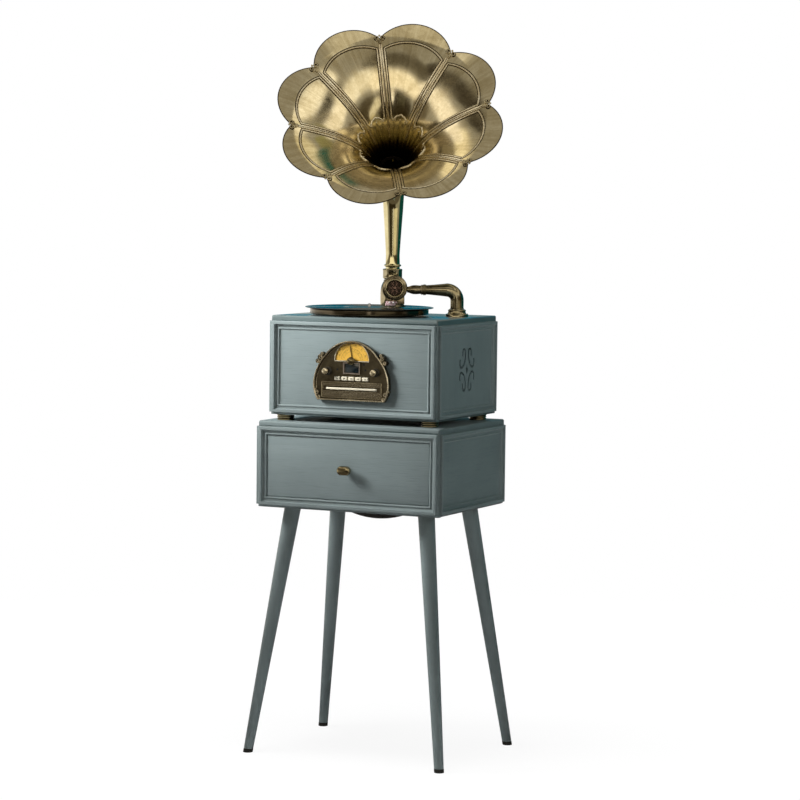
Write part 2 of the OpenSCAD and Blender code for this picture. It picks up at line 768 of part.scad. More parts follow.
module motor() {
    color("#9a9da0") translate([motor_x, motor_y, cab_z1 - board_t - 34]) {
        cylinder(h = 30, r = 17.5);
        translate([0, 0, 29]) cylinder(h = 5, r = 22);
        cylinder(h = board_t + 34 + deck_gap + 7, r = motor_shaft_r);
    }
}

module motor_pulley() {
    flange_t = 1.2;
    side_gap = 0.6;
    h = belt_h + 2 * side_gap + 2 * flange_t;
    color("#c4a25a") translate([motor_x, motor_y, belt_z - side_gap - flange_t]) difference() {
        union() {
            cylinder(h = h, r = pulley_r);
            cylinder(h = flange_t, r = pulley_r + 2);
            translate([0, 0, h - flange_t]) cylinder(h = flange_t, r = pulley_r + 2);
        }
        translate([0, 0, -1]) cylinder(h = h + 2, r = motor_shaft_r + run_fit);
    }
}

// Outline of a belt round the platter's ring and the motor pulley, grown by a margin
function belt_loop(grow) =
    let (big = belt_ring_r + grow, small = pulley_r + grow, wrap = acos((big - small) / motor_reach))
    concat(arc(0, 0, big, wrap, 360 - wrap, 40), arc(motor_reach, 0, small, -wrap, wrap, 8));

module drive_belt() {
    color("#161616") translate([spindle_x, spindle_y, belt_z]) rotate(45)
        linear_extrude(belt_h) difference() {
            polygon(belt_loop(gap + belt_t));
            polygon(belt_loop(gap));
        }
}

module platter() {
    r = platter_d / 2;
    z = cab_z1 + deck_gap;
    color("#8f8878") translate([spindle_x, spindle_y, z]) rotate_extrude($fn = 96) polygon([
        [spindle_d / 2 + run_fit, 1], [13, 1], [13, platter_h - 4],
        [belt_ring_r - 5, platter_h - 4], [belt_ring_r - 5, 1.5], [belt_ring_r, 1.5],
        [belt_ring_r, platter_h - 4], [r - 7, platter_h - 4], [r - 6, 0], [r - 1, 0],
        [r, 1], [r, platter_h - 2], [r - 2, platter_h], [r - 4, platter_h],
        [r - 4.5, platter_h + mat_h], [spindle_d / 2 + run_fit, platter_h + mat_h]]);
}

// The spindle turns in the bearing with the platter; its free end is a little thinner
module spindle() {
    foot = cab_z1 - 35;
    step = record_z + record_t + 0.3;
    tip = step + 7.7;
    r = spindle_d / 2;
    free_r = r - 0.2;
    color("#d7d2c4") translate([spindle_x, spindle_y, 0]) rotate_extrude() polygon(concat(
        [[0, foot], [r, foot], [r, step], [free_r, step], [free_r, tip]],
        arc(0, tip, free_r, 15, 75, 4), [[0, tip + free_r]]));
}

module record() {
    r = record_d / 2;
    color("#0f3a3f") translate([spindle_x, spindle_y, record_z]) rotate_extrude($fn = 96) polygon([
        [spindle_d / 2 + 0.1, 0], [r - 1, 0], [r, 0.8], [r, 1.2], [r - 2.5, record_t], [56, record_t - 0.3],
        [52, record_t - 0.3], [50, record_t], [spindle_d / 2 + 0.1, record_t]]);
}

// Puts its children on the tonearm's pivot, X towards the sound head
module at_arm(z) {
    translate([arm_x, arm_y, z]) rotate(arm_angle) children();
}

module tonearm_base() {
    color("#a98d50") at_arm(cab_z1) difference() {
        rotate_extrude() polygon(concat(
            [[0, 0], [26.5, 0], [26.5, 4]], arc(24.5, 4, 2, 0, 90, 3), [[22, 6.5], [20.5, 9], [20.5, 10]],
            arc(19.5, 13.5, 1.6, -60, 80, 4), [[19.5, 16.6], [0, 16.6]]));
        translate([0, 0, -1]) cylinder(h = 30, r = 6);
        translate([0, 0, 8]) cylinder(h = 30, r = 12);
    }
}

module tonearm() {
    foot = cab_z1 + 17;
    rise = arm_z - arm_bend_r - foot;
    color("#a08a52") at_arm(0) difference() {
        union() {
            translate([0, 0, foot]) cylinder(h = rise, r = arm_tube_r);
            translate([0, 0, foot - 7]) cylinder(h = 8, r = 12 - run_fit);
            translate([arm_bend_r, 0, arm_z - arm_bend_r]) rotate([90, 0, 0]) rotate(90)
                rotate_extrude(angle = 90) translate([arm_bend_r, 0]) circle(arm_tube_r);
            translate([arm_bend_r, 0, arm_z]) rotate([0, 90, 0])
                cylinder(h = arm_joint_x - arm_bend_r, r1 = arm_tube_r, r2 = arm_end_r);
            translate([arm_joint_x - 1, 0, arm_z]) rotate([0, 90, 0]) rotate_extrude() polygon(concat(
                [[0, 0], [arm_end_r, 0]], arc(arm_end_r, 2.5, 2, -60, 60, 4), [[arm_end_r, 5], [0, 5]]));
        }
        translate([arm_joint_x - 16, 0, arm_z]) rotate([0, 90, 0]) cylinder(h = 30, r = 6 + run_fit);
    }
}

// Sound head: swivel neck, flared into the rim of a flat round box with a raised ring
// and an open rosette on its face, and the carrier that holds the cartridge
module sound_head() {
    r = head_d / 2;
    neck_x = arm_joint_x + 4.4;
    color("#6d6247") at_arm(0) {
        translate([neck_x - 18, 0, arm_z]) rotate([0, 90, 0]) cylinder(h = 20, r = 6);
        translate([neck_x, 0, arm_z]) rotate([0, 90, 0]) rotate_extrude() polygon(concat(
            [[0, 0], [11.4, 0], [11.9, 2], [11.2, 4]], [[10.2, 4.6], [10.6, 18]],
            [[9.6, 26], [7.4, 31], [6.8, 36], [0, 36]]));
        translate([arm_l, -head_t / 2, head_z]) rotate([-90, 0, 0]) difference() {
            rotate_extrude($fn = 72) polygon(concat(
                [[0, 0], [r - 6, 0], [r - 3, 1.5]], arc(r - 2.5, 4, 2.5, -90, 90, 4), [[r - 4, 7]],
                arc(r - 3, 10, 3, -80, 60, 4), [[r - 6.5, 13.5], [22.5, 14.5]],
                arc(20.2, 15, 2.4, 0, 180, 5), [[17.8, head_t - 5], [0, head_t - 5]]));
        }
        translate([arm_l, head_t / 2 - 5.5, head_z]) rotate([-90, 0, 0]) rosette(3.5);
        translate([arm_l - 23, -head_t / 2, record_z + record_t + 7]) cube([17, 11, 17]);
    }
}

// Open rosette: a ring of petals round a boss
module rosette(h) {
    cylinder(h = h, r = 4.5);
    for (i = [0:5]) rotate(60 * i) {
        translate([0, -1, 0]) cube([18, 2, h - 1]);
        rotate(30) translate([11, 0, 0]) difference() {
            cylinder(h = h - 0.5, r = 5.6);
            translate([0, 0, -1]) cylinder(h = h + 2, r = 3.6);
        }
    }
}

// Cartridge under the sound head, with its stylus held just clear of the record
module cartridge() {
    floor_z = record_z + record_t + stylus_gap;
    color("#e3cdd0") at_arm(0) translate([arm_l - 2, -6, 0]) {
        translate([0, 0, floor_z + 3.5]) cube([23, 12, 9.5]);
        translate([-4, 3, floor_z + 9]) cube([5, 6, 4]);
        translate([17, 6, floor_z]) cylinder(h = 5, r1 = 0.4, r2 = 1.6);
    }
}

// Cast bracket: a shelf behind the cabinet, a leg down its back and a gusset
module horn_bracket() {
    leg_y = cab_rear_y;
    color("#8a7440") difference() {
        union() {
            translate([horn_x, horn_y, cab_z1]) cylinder(h = 6, r = 35);
            translate([horn_x - 30, cab_rear_y - 22, cab_z1]) cube([60, 40, 6]);
            translate([horn_x - 28, leg_y + 0.1, cab_z1 - 90]) cube([56, 6, 93]);
            translate([horn_x, leg_y + 6.1, cab_z1 - 90]) rotate([90, 0, 0]) cylinder(h = 6, r = 28);
            translate([horn_x - 4, leg_y + 5, cab_z1 + 1]) rotate([0, 90, 0]) linear_extrude(8) polygon([
                [0, 0], [80, 0], [80, 3], [0, 34]]);
        }
        for (p = [[-18, -20], [18, -20], [-18, -78], [18, -78]])
            translate([horn_x + p[0], leg_y - 1, cab_z1 + p[1]]) rotate([-90, 0, 0])
                cylinder(h = 20, r = 2.2);
    }
}

// Bell-shaped pedestal with a hollow spigot, on which the horn's collar turns
module horn_pedestal() {
    z = pedestal_z;
    shoulder = collar_z0 - z - gap;
    color("#b8995a") translate([horn_x, horn_y, z]) difference() {
        rotate_extrude($fn = 64) polygon(concat(
            [[0, 0], [28.5, 0]], arc(27, 2.2, 2.2, -90, 60, 4),
            [[26.4, 5.5], [28.2, 12], [28.8, 30], [28.2, 48]],
            [[26.5, 56], [23.5, 63], [20.5, 68], [19.5, shoulder], [spigot_r, shoulder],
            [spigot_r, shoulder + 20], [0, shoulder + 20]]));
        translate([0, 0, 20]) cylinder(h = 100, r = 10);
    }
}

module horn_collar() {
    h = collar_z1 - collar_z0;
    color("#c9a95f") translate([horn_x, horn_y, collar_z0]) rotate_extrude() polygon(concat(
        [[spigot_r + run_fit, 0], [20, 0]], arc(20.4, 3, 2.6, -80, 0, 3), [[23, 5], [23, h - 4]],
        arc(20.5, h - 3, 2.5, 0, 80, 3), [[18, h], [spigot_r + run_fit, h]]));
}

// Upright tube of the horn: thin ring at its foot, then a slow taper up to the bend
module horn_tube() {
    foot = collar_z1;
    waist = 31;
    top = bend_z - foot;
    color("#c4a65c") translate([horn_x, horn_y, foot]) rotate_extrude() polygon(concat(
        [[tube_foot_r - 2, 0], [tube_foot_r + 0.5, 0], [tube_foot_r + 0.5, 4]],
        arc(tube_foot_r + 2, 7.5, 2.2, -60, 60, 4), [[tube_foot_r + 1, 11], [tube_foot_r, waist]],
        [[tube_top_r, top], [tube_top_r - tube_wall, top], [tube_foot_r - tube_wall, waist]]));
}

// Puts its children at the throat, Z along the bell's axis
module at_throat() {
    reach = bend_r * (1 - cos(horn_tilt));
    translate([horn_x, horn_y, bend_z]) rotate(horn_azimuth)
        translate([reach, 0, bend_r * sin(horn_tilt)]) rotate([0, horn_tilt, 0]) children();
}

// Bend of the horn: a hollow tube that grows from the upright tube to the bell's throat
module horn_elbow() {
    steps = 9;
    sides = 24;
    rings = function (wall) [for (j = [0:steps]) let (a = horn_tilt * j / steps,
        r = tube_top_r + (throat_r - tube_top_r) * j / steps - wall)
        [for (i = [0:sides - 1]) let (t = 360 * i / sides, x = r * cos(t))
            [bend_r - (bend_r - x) * cos(a), r * sin(t), (bend_r - x) * sin(a)]]];
    outer = rings(0);
    inner = rings(tube_wall);
    n = 2 * sides;
    points = [for (j = [0:steps]) each concat(outer[j], inner[j])];
    walls = [for (j = [0:steps - 1]) for (i = [0:sides - 1]) let (k = (i + 1) % sides, o = j * n, p = o + n)
        each [[o + i, p + k, o + k], [o + i, p + i, p + k],
            [o + sides + i, o + sides + k, p + sides + k], [o + sides + i, p + sides + k, p + sides + i]]];
    rims = [for (i = [0:sides - 1]) let (k = (i + 1) % sides, e = steps * n)
        each [[i, k, sides + k], [i, sides + k, sides + i],
            [e + i, e + sides + k, e + k], [e + i, e + sides + i, e + sides + k]]];
    color("#bfa25a") translate([horn_x, horn_y, bend_z]) rotate(horn_azimuth)
        polyhedron(points, concat(walls, rims));
}

// The bell's flare: height above the throat at a given radius, and the rim's radius
// at a given angle from the middle of a petal
function flare(r) = r < notch_r
    ? bell_l * ln(r / throat_r) / ln(notch_r / throat_r)
    : bell_l + 0.3 * (r - notch_r);
lobe_half = 180 / petals;
lobe_c = (notch_r * notch_r - tip_r * tip_r) / (2 * (notch_r * cos(lobe_half) - tip_r));
lobe_r = tip_r - lobe_c;
function rim_r(t) = lobe_c * cos(t) + sqrt(lobe_r * lobe_r - pow(lobe_c * sin(t), 2));

// A point of a petal's shown face: u from -1 to 1 across it, v from 0 at the throat to 1 at
// the rim, and the point behind it on the sheet's outer face
function petal_point(u, v) =
    let (t = u * (lobe_half - 0.12), r = throat_r + 0.1 + (rim_r(t) - throat_r - 0.1) * v,
        cup = petal_cup * (1 - u * u) * sin(90 * min(v * 1.6, 1)) * min(v * 3, 1))
    [r * cos(t), r * sin(t), flare(r) - cup];
function petal_back(u, v) =
    let (p = petal_point(u, v), r = norm([p[0], p[1]]),
        slope = r < notch_r ? bell_l / (r * ln(notch_r / throat_r)) : 0.3,
        out = [slope * p[0] / r, slope * p[1] / r, -1])
    p + sheet_t * out / norm(out);

module petal() {
    across = 10;
    along = 14;
    rear = [for (j = [0:along]) for (i = [0:across]) petal_back(2 * i / across - 1, j / along)];
    shown = [for (j = [0:along]) for (i = [0:across]) petal_point(2 * i / across - 1, j / along)];
    row = across + 1;
    half = len(rear);
    faces = [for (j = [0:along - 1]) for (i = [0:across - 1])
        let (a = j * row + i, b = a + 1, c = a + row, d = c + 1)
        each [[a, b, d], [a, d, c], [half + a, half + d, half + b], [half + a, half + c, half + d]]];
    edges = concat(
        [for (i = [0:across - 1]) let (a = i, c = along * row + i)
            each [[a, half + a + 1, a + 1], [a, half + a, half + a + 1],
                [c, c + 1, half + c + 1], [c, half + c + 1, half + c]]],
        [for (j = [0:along - 1]) let (a = j * row, b = a + across)
            each [[a, a + row, half + a + row], [a, half + a + row, half + a],
                [b, half + b + row, b + row], [b, half + b, half + b + row]]]);
    polyhedron(concat(rear, shown), concat(faces, edges));
}

module horn_petals() {
    color("#a8905c") at_throat() for (k = [0:petals - 1])
        rotate(180 + horn_roll + lobe_half * (2 * k + 1)) petal();
}

// Raised seam strips over the joints of the petals, and the ferrule round the throat
module horn_seams() {
    steps = 14;
    start_r = 62;
    half_w = function (r) 1.8 + 3.4 * r / notch_r;
    rings = [for (j = [0:steps]) let (r = start_r + (notch_r - 16 - start_r) * j / steps,
        slope = atan((flare(r + 1) - flare(r)) / 1), w = half_w(r),
        up = [-sin(slope), cos(slope)])
        [for (p = [[-w, 0.6], [-w, 1.4], [-w / 2, 3], [-w / 6, 1.8],
            [w / 6, 1.8], [w / 2, 3], [w, 1.4], [w, 0.6]])
            [r + up[0] * p[1], p[0], flare(r) + up[1] * p[1]]]];
    color("#b8a070") at_throat() {
        for (k = [0:petals - 1]) rotate(180 + horn_roll + 2 * lobe_half * k) skin(rings);
        translate([0, 0, -9.4]) rotate_extrude() polygon([
            [throat_r + 0.2, 0], [throat_r + 1, 0], [throat_r + 3, 2], [throat_r + 3, 7], [throat_r + 1, 9],
            [throat_r + 0.2, 9]]);
    }
}

// Cast clip at each notch of the rim: two open curls on a banded stem, with a bead between them
module rim_clips() {
    lean = atan(flare(notch_r) - flare(notch_r - 1));
    color("#7d6a3e") at_throat() for (k = [0:petals - 1])
        rotate(180 + horn_roll + 2 * lobe_half * k) translate([notch_r - 1, 0, flare(notch_r) + 0.5])
            rotate([0, -lean, 0]) {
            for (s = [-1, 1]) translate([2, 7.5 * s, 0]) difference() {
                cylinder(h = 3.5, r = 5);
                translate([0, 0, 1.2]) cylinder(h = 3, r = 2.7);
            }
            translate([8, 0, 0]) cylinder(h = 3.6, r = 3.2);
            translate([-1, -2.5, 0]) cube([8, 5, 2.4]);
            translate([-8, -7, 0]) cube([9, 14, 3]);
            translate([-8, 0, 0]) cylinder(h = 3, r = 5.5);
        }
}

legs();
leg_plates();
leg_tips();
stand_bottom();
stand_top();
stand_sides();
stand_back();
stand_face_rails();
stand_mouldings();
drawer_runners();
bass_driver();
bass_grille();
spacer_feet();
drawer_box();
drawer_front();
drawer_knob();
cabinet_sides();
cabinet_bottom();
cabinet_top();
cabinet_front();
cabinet_back();
cabinet_mouldings();
side_drivers();
grille_cloths();
fascia();
dial_face();
dial_pointer();
tuning_knob();
display_window();
volume_knob();
mode_knob();
button_1();
button_2();
button_3();
button_4();
button_5();
cd_tray();
cd_mechanism();
circuit_board();
power_supply();
rear_sockets();
platter_bearing();
motor();
motor_pulley();
drive_belt();
platter();
spindle();
record();
tonearm_base();
tonearm();
sound_head();
cartridge();
horn_bracket();
horn_pedestal();
horn_collar();
horn_tube();
horn_elbow();
horn_petals();
horn_seams();
rim_clips();
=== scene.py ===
"""Horn gramophone on a drawer stand: its camera, studio, finishes and modelled pieces.

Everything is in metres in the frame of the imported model: +Z up, the front towards -Y, and
the origin on the floor midway between the feet. Each sub-assembly is a class whose fields
are its sizes and whose build method makes its pieces, dresses them and puts them on the
body that carries them.
"""

import json
import logging
import math
from collections.abc import Callable, Iterable, Sequence
from dataclasses import dataclass, field
from enum import Enum
from functools import partial

import bmesh
import bpy
from mathutils import Matrix, Vector

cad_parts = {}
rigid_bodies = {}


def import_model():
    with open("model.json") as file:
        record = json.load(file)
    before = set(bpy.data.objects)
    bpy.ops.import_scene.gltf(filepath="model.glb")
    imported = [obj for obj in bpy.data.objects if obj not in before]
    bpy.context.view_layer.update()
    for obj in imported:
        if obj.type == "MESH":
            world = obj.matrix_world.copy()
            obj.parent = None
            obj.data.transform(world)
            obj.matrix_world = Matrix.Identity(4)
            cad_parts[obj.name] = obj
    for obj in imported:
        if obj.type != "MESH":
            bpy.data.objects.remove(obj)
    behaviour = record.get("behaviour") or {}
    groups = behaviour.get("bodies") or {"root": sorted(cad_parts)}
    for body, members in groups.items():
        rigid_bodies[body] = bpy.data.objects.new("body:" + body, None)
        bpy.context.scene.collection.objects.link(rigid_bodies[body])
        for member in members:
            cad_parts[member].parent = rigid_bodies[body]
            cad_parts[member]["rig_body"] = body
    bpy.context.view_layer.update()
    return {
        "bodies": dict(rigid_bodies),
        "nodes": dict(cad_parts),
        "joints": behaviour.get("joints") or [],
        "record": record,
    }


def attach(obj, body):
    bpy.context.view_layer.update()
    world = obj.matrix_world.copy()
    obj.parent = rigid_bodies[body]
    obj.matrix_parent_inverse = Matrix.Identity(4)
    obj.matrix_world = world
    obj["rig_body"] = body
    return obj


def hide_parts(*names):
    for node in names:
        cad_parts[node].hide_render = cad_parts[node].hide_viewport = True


LOG = logging.getLogger("gramophone")
MM = 0.001
TURN = 2 * math.pi

UPRIGHT = Matrix.Identity(4)
FRONTWARD = Vector((0, -1, 0))

Socket = bpy.types.NodeSocket
Point = tuple[float, float]
Colour = tuple[float, float, float]


class Grain(Enum):
    """The way the wood's grain runs along a board, as the axis it follows."""

    ALONG_X = (0.05, 1.0, 1.0)
    ALONG_Y = (1.0, 0.05, 1.0)
    ALONG_Z = (1.0, 1.0, 0.05)


class Brushing(Enum):
    """How a metal is worked: the stretch of its fine scratches on the piece's own UV map."""

    LENGTHWISE = (260.0, 3.0, 1.0)
    CAST = (40.0, 40.0, 40.0)


class ShaderTree:
    """A small hand for wiring the nodes of a material or a world."""

    def __init__(self, owner: bpy.types.ID, output: str = "OutputMaterial") -> None:
        """Empties the owner's node tree and gives it an output.

        Args:
            owner: the material or world that has the tree.
            output: Blender's type name of the output node, without ShaderNode.
        """
        self.owner = owner
        owner.use_nodes = True
        self.tree = owner.node_tree
        self.tree.nodes.clear()
        self.output = self.node(output)

    def node(self, kind: str, settings: dict[str, object] | None = None, *inputs: object,
             **sockets: object) -> bpy.types.Node:
        """Adds a node.

        Args:
            kind: Blender's type name of the node, without ShaderNode.
            settings: the node's own properties.
            *inputs: values or output sockets for the inputs that it uses, in order.
            **sockets: the same for inputs by name, spaces as underscores.

        Returns:
            The new node.
        """
        made = self.tree.nodes.new("ShaderNode" + kind)
        for name, value in (settings or {}).items():
            setattr(made, name, value)
        for socket, value in zip((s for s in made.inputs if s.enabled), inputs):
            self.feed(socket, value)
        for name, value in sockets.items():
            self.feed(made.inputs[name.replace("_", " ")], value)
        return made

    def feed(self, socket: Socket, value: object) -> None:
        """Sets an input, or wires it when the value is another node's output.

        Args:
            socket: the input.
            value: a number, a colour or an output.
        """
        if isinstance(value, Socket):
            self.tree.links.new(value, socket)
        elif socket.type == "RGBA" and len(value) == 3:
            socket.default_value = (*value, 1.0)
        else:
            socket.default_value = value

    def place(self, scale: Sequence[float] = (1, 1, 1), uv: bool = False) -> Socket:
        """Scaled Object coordinates, or the piece's own UV map."""
        source = self.node("TexCoord").outputs["UV" if uv else "Object"]
        return self.node("Mapping", Vector=source, Scale=scale).outputs["Vector"]

    def noise(self, vector: Socket, scale: float, detail: float = 4.0, roughness: float = 0.55,
              distortion: float = 0.0) -> Socket:
        """A noise texture's value, with Blender's own settings."""
        return self.node("TexNoise", Vector=vector, Scale=scale, Detail=detail,
                         Roughness=roughness, Distortion=distortion).outputs["Fac"]

    def ramp(self, value: Socket, stops: Sequence[tuple[float, Colour]]) -> Socket:
        """A colour ramp.

        Args:
            value: what the ramp reads.
            stops: place and colour of each stop, in order.

        Returns:
            The colour output.
        """
        made = self.node("ValToRGB", Fac=value)
        elements = made.color_ramp.elements
        while len(elements) < len(stops):
            elements.new(0.5)
        for element, (where, colour) in zip(elements, stops):
            element.position = where
            element.color = (*colour, 1.0)
        return made.outputs["Color"]

    def span(self, value: Socket, low: float, high: float, to_low: float = 0.0,
             to_high: float = 1.0) -> Socket:
        """Maps the values from low to high onto those from to_low to to_high, clamped."""
        return self.node("MapRange", {}, value, low, high, to_low, to_high).outputs["Result"]

    def mix(self, factor: object, first: object, second: object, blend: str = "MIX") -> Socket:
        """Mixes two colours with that share of the second, by Blender's blend type."""
        return self.node("Mix", {"data_type": "RGBA", "blend_type": blend}, factor, first,
                         second).outputs[2]

    def math(self, operation: str, first: object, second: object = 0.0) -> Socket:
        """One step of arithmetic, by Blender's name of the operation."""
        return self.node("Math", {"operation": operation}, first, second).outputs[0]

    def bump(self, height: Socket, strength: float, distance: float) -> Socket:
        """A bump normal from a height of 0 to 1, whose relief is so many metres deep."""
        return self.node("Bump", Height=height, Strength=strength,
                         Distance=distance).outputs["Normal"]

    def mix_shaders(self, share: Socket, first: bpy.types.Node,
                    second: bpy.types.Node) -> bpy.types.Node:
        """Mixes two shaders, with that share of the second."""
        return self.node("MixShader", {}, share, first.outputs[0], second.outputs[0])

    def direct_rays(self) -> Socket:
        """Gives 1 to the eye, to metal and to glass, and 0 to light that bounces on."""
        rays = self.node("LightPath").outputs
        seen = self.math("MAXIMUM", rays["Is Camera Ray"], rays["Is Glossy Ray"])
        return self.math("MAXIMUM", seen, rays["Is Transmission Ray"])

    def end_in(self, shader: bpy.types.Node) -> None:
        """Wires a shader to the tree's output."""
        self.tree.links.new(shader.outputs[0], self.output.inputs["Surface"])

    def surface(self, **sockets: object) -> None:
        """Ends the tree in a Principled surface with those inputs, spaces as underscores."""
        self.end_in(self.node("BsdfPrincipled", **sockets))


def in_scene(name: str, data: bpy.types.ID) -> bpy.types.Object:
    """Makes an object and links it into the scene.

    Args:
        name: the object's name.
        data: its mesh, lamp, camera or curve.

    Returns:
        The object.
    """
    made = bpy.data.objects.new(name, data)
    bpy.context.scene.collection.objects.link(made)
    return made


def shade(colour: Colour, share: float) -> Colour:
    """A colour made darker or lighter."""
    return tuple(min(c * share, 1.0) for c in colour)


@dataclass(frozen=True)
class Finish:
    """A surface finish. Its material is made once and shared."""

    name: str
    slot: str

    def wire(self, tree: ShaderTree) -> None:
        """Wires the finish's nodes into an empty material."""
        raise NotImplementedError

    def material(self) -> bpy.types.Material:
        """The finish's material, made when it is first asked for."""
        own_name = "finish_" + self.name
        found = bpy.data.materials.get(own_name)
        if found is None:
            found = bpy.data.materials.new(own_name)
            self.wire(ShaderTree(found))
        return found


@dataclass(frozen=True)
class PaintedWood(Finish):
    """Satin paint over wood whose grain just shows through."""

    colour: Colour
    grain: Grain = Grain.ALONG_X
    roughness: float = 0.42
    relief: float = 0.22 * MM
    coat: float = 0.0

    def wire(self, tree: ShaderTree) -> None:
        """Soft cloudy paint, fine pores along the grain and a slightly uneven gloss.

        Args:
            tree: the material's nodes.
        """
        along = self.grain.value
        pores = tree.noise(tree.place(along), scale=420.0, detail=3.0, roughness=0.6)
        bands = tree.noise(tree.place(along), scale=46.0, roughness=0.6, distortion=0.6)
        clouds = tree.noise(tree.place(), scale=5.0, detail=3.0)
        paint = tree.ramp(clouds, [(0.30, shade(self.colour, 0.90)),
                                   (0.72, shade(self.colour, 1.10))])
        streaks = tree.ramp(bands, [(0.35, (0.90, 0.91, 0.91)), (0.65, (1.0, 1.0, 1.0))])
        paint = tree.mix(0.65, paint, streaks, "MULTIPLY")
        specks = tree.ramp(pores, [(0.36, (0.82, 0.83, 0.83)), (0.46, (1.0, 1.0, 1.0))])
        paint = tree.mix(0.45, paint, specks, "MULTIPLY")
        height = tree.math("ADD", tree.span(pores, 0.34, 0.50), tree.math("MULTIPLY", bands, 0.5))
        gloss = tree.span(clouds, 0.3, 0.7, self.roughness - 0.05, self.roughness + 0.07)
        tree.surface(Base_Color=paint, Roughness=gloss,
                     Normal=tree.bump(height, 0.55, self.relief),
                     Specular_IOR_Level=0.36, Coat_Weight=self.coat, Coat_Roughness=0.14)


@dataclass(frozen=True)
class BareWood(Finish):
    """Unpainted wood inside the stand."""

    colour: Colour
    grain: Grain = Grain.ALONG_Y

    def wire(self, tree: ShaderTree) -> None:
        """Long streaks of lighter and darker wood with fine pores.

        Args:
            tree: the material's nodes.
        """
        along = self.grain.value
        streaks = tree.noise(tree.place(along), scale=60.0, detail=6.0, roughness=0.62,
                             distortion=1.2)
        pores = tree.noise(tree.place(along), scale=500.0, detail=3.0)
        wood = tree.ramp(streaks, [(0.30, shade(self.colour, 0.72)), (0.70, self.colour)])
        tree.surface(Base_Color=wood, Roughness=0.62, Normal=tree.bump(pores, 0.4, 0.2 * MM))


@dataclass(frozen=True)
class Brass(Finish):
    """Brass with a worn brown patina, brushed or cast."""

    bright: Colour
    patina: Colour
    brushing: Brushing = Brushing.CAST
    roughness: float = 0.26
    patina_share: float = 0.5
    relief: float = 0.008 * MM
    uses_uv: bool = False

    def wire(self, tree: ShaderTree) -> None:
        """Clouds of patina, fine scratches along the brushing and an uneven gloss.

        Args:
            tree: the material's nodes.
        """
        scratches = tree.noise(tree.place(self.brushing.value, self.uses_uv), scale=1.0,
                               detail=5.0, roughness=0.7)
        clouds = tree.noise(tree.place(), scale=22.0, detail=5.0, roughness=0.6, distortion=0.3)
        spots = tree.noise(tree.place(), scale=130.0, roughness=0.65)
        worn = tree.math("ADD", tree.math("MULTIPLY", clouds, 0.7),
                         tree.math("MULTIPLY", spots, 0.3))
        edge = 0.62 - 0.28 * self.patina_share
        metal = tree.ramp(worn, [(edge - 0.14, self.patina), (edge + 0.14, self.bright)])
        lines = tree.ramp(scratches, [(0.35, (0.80, 0.78, 0.74)), (0.62, (1.0, 1.0, 1.0))])
        metal = self.toned(tree, tree.mix(0.3, metal, lines, "MULTIPLY"))
        gloss = tree.span(worn, 0.3, 0.7, self.roughness + 0.10, self.roughness - 0.04)
        tree.surface(Base_Color=metal, Metallic=1.0, Roughness=gloss,
                     Normal=tree.bump(scratches, 0.5, self.relief))

    def toned(self, tree: ShaderTree, metal: Socket) -> Socket:
        """The metal's colour after any tone that belongs to one place on the piece."""
        return metal


@dataclass(frozen=True)
class HornBrass(Brass):
    """The bell's sheet: painted shade darkening the throat, streaked by the brush along the lip."""

    def toned(self, tree: ShaderTree, metal: Socket) -> Socket:
        """Paints shade that darkens the throat and draws long streaks from the middle out to the
        rim.

        Args:
            tree: the material's nodes.
            metal: the metal's colour.

        Returns:
            The toned colour.
        """
        along = tree.node("SeparateXYZ", Vector=tree.place(uv=True)).outputs["Y"]
        # Painted shade: the colour falls to near black down the throat, where the deep bell lies in
        # shade.
        throat = tree.ramp(along, [(0.0, (0.03, 0.022, 0.01)), (0.10, (0.14, 0.125, 0.075)),
                                   (0.19, (0.46, 0.43, 0.28)), (0.33, (0.70, 0.66, 0.50)),
                                   (0.36, (1.0, 1.0, 1.0))])
        streaks = tree.noise(tree.place((150.0, 0.8, 1.0), True), scale=1.0, detail=3.0,
                             roughness=0.6)
        bands = tree.ramp(streaks, [(0.38, (0.78, 0.75, 0.68)), (0.60, (1.0, 1.0, 1.0))])
        share = tree.span(along, 0.55, 0.86, 0.25, 0.80)
        return tree.mix(1.0, tree.mix(share, metal, bands, "MULTIPLY"), throat, "MULTIPLY")


@dataclass(frozen=True)
class Steel(Finish):
    """Plain or blackened steel."""

    colour: Colour
    roughness: float = 0.32

    def wire(self, tree: ShaderTree) -> None:
        """Fine scratches and a slightly cloudy gloss.

        Args:
            tree: the material's nodes.
        """
        scratches = tree.noise(tree.place((300, 300, 30)), scale=1.0)
        clouds = tree.noise(tree.place(), scale=30.0, detail=3.0)
        metal = tree.ramp(clouds, [(0.3, shade(self.colour, 0.85)), (0.7, self.colour)])
        gloss = tree.span(clouds, 0.3, 0.7, self.roughness, self.roughness + 0.08)
        tree.surface(Base_Color=metal, Metallic=1.0, Roughness=gloss,
                     Normal=tree.bump(scratches, 0.3, 0.03 * MM))


@dataclass(frozen=True)
class Moulded(Finish):
    """Moulded plastic, rubber, cloth or card: a dielectric with a fine grain."""

    colour: Colour
    roughness: float = 0.4
    grain_scale: float = 900.0
    relief: float = 0.03 * MM
    coat: float = 0.0
    gloss: float = 0.5

    def wire(self, tree: ShaderTree) -> None:
        """A fine even grain and faint clouds of tone.

        Args:
            tree: the material's nodes.
        """
        grain = tree.noise(tree.place(), self.grain_scale, detail=2.0)
        clouds = tree.noise(tree.place(), scale=40.0, detail=3.0)
        tone = tree.ramp(clouds, [(0.3, shade(self.colour, 0.86)), (0.7, self.colour)])
        tree.surface(Base_Color=tone, Roughness=self.roughness,
                     Normal=tree.bump(grain, 0.4, self.relief), Coat_Weight=self.coat,
                     Coat_Roughness=0.08, Specular_IOR_Level=self.gloss)


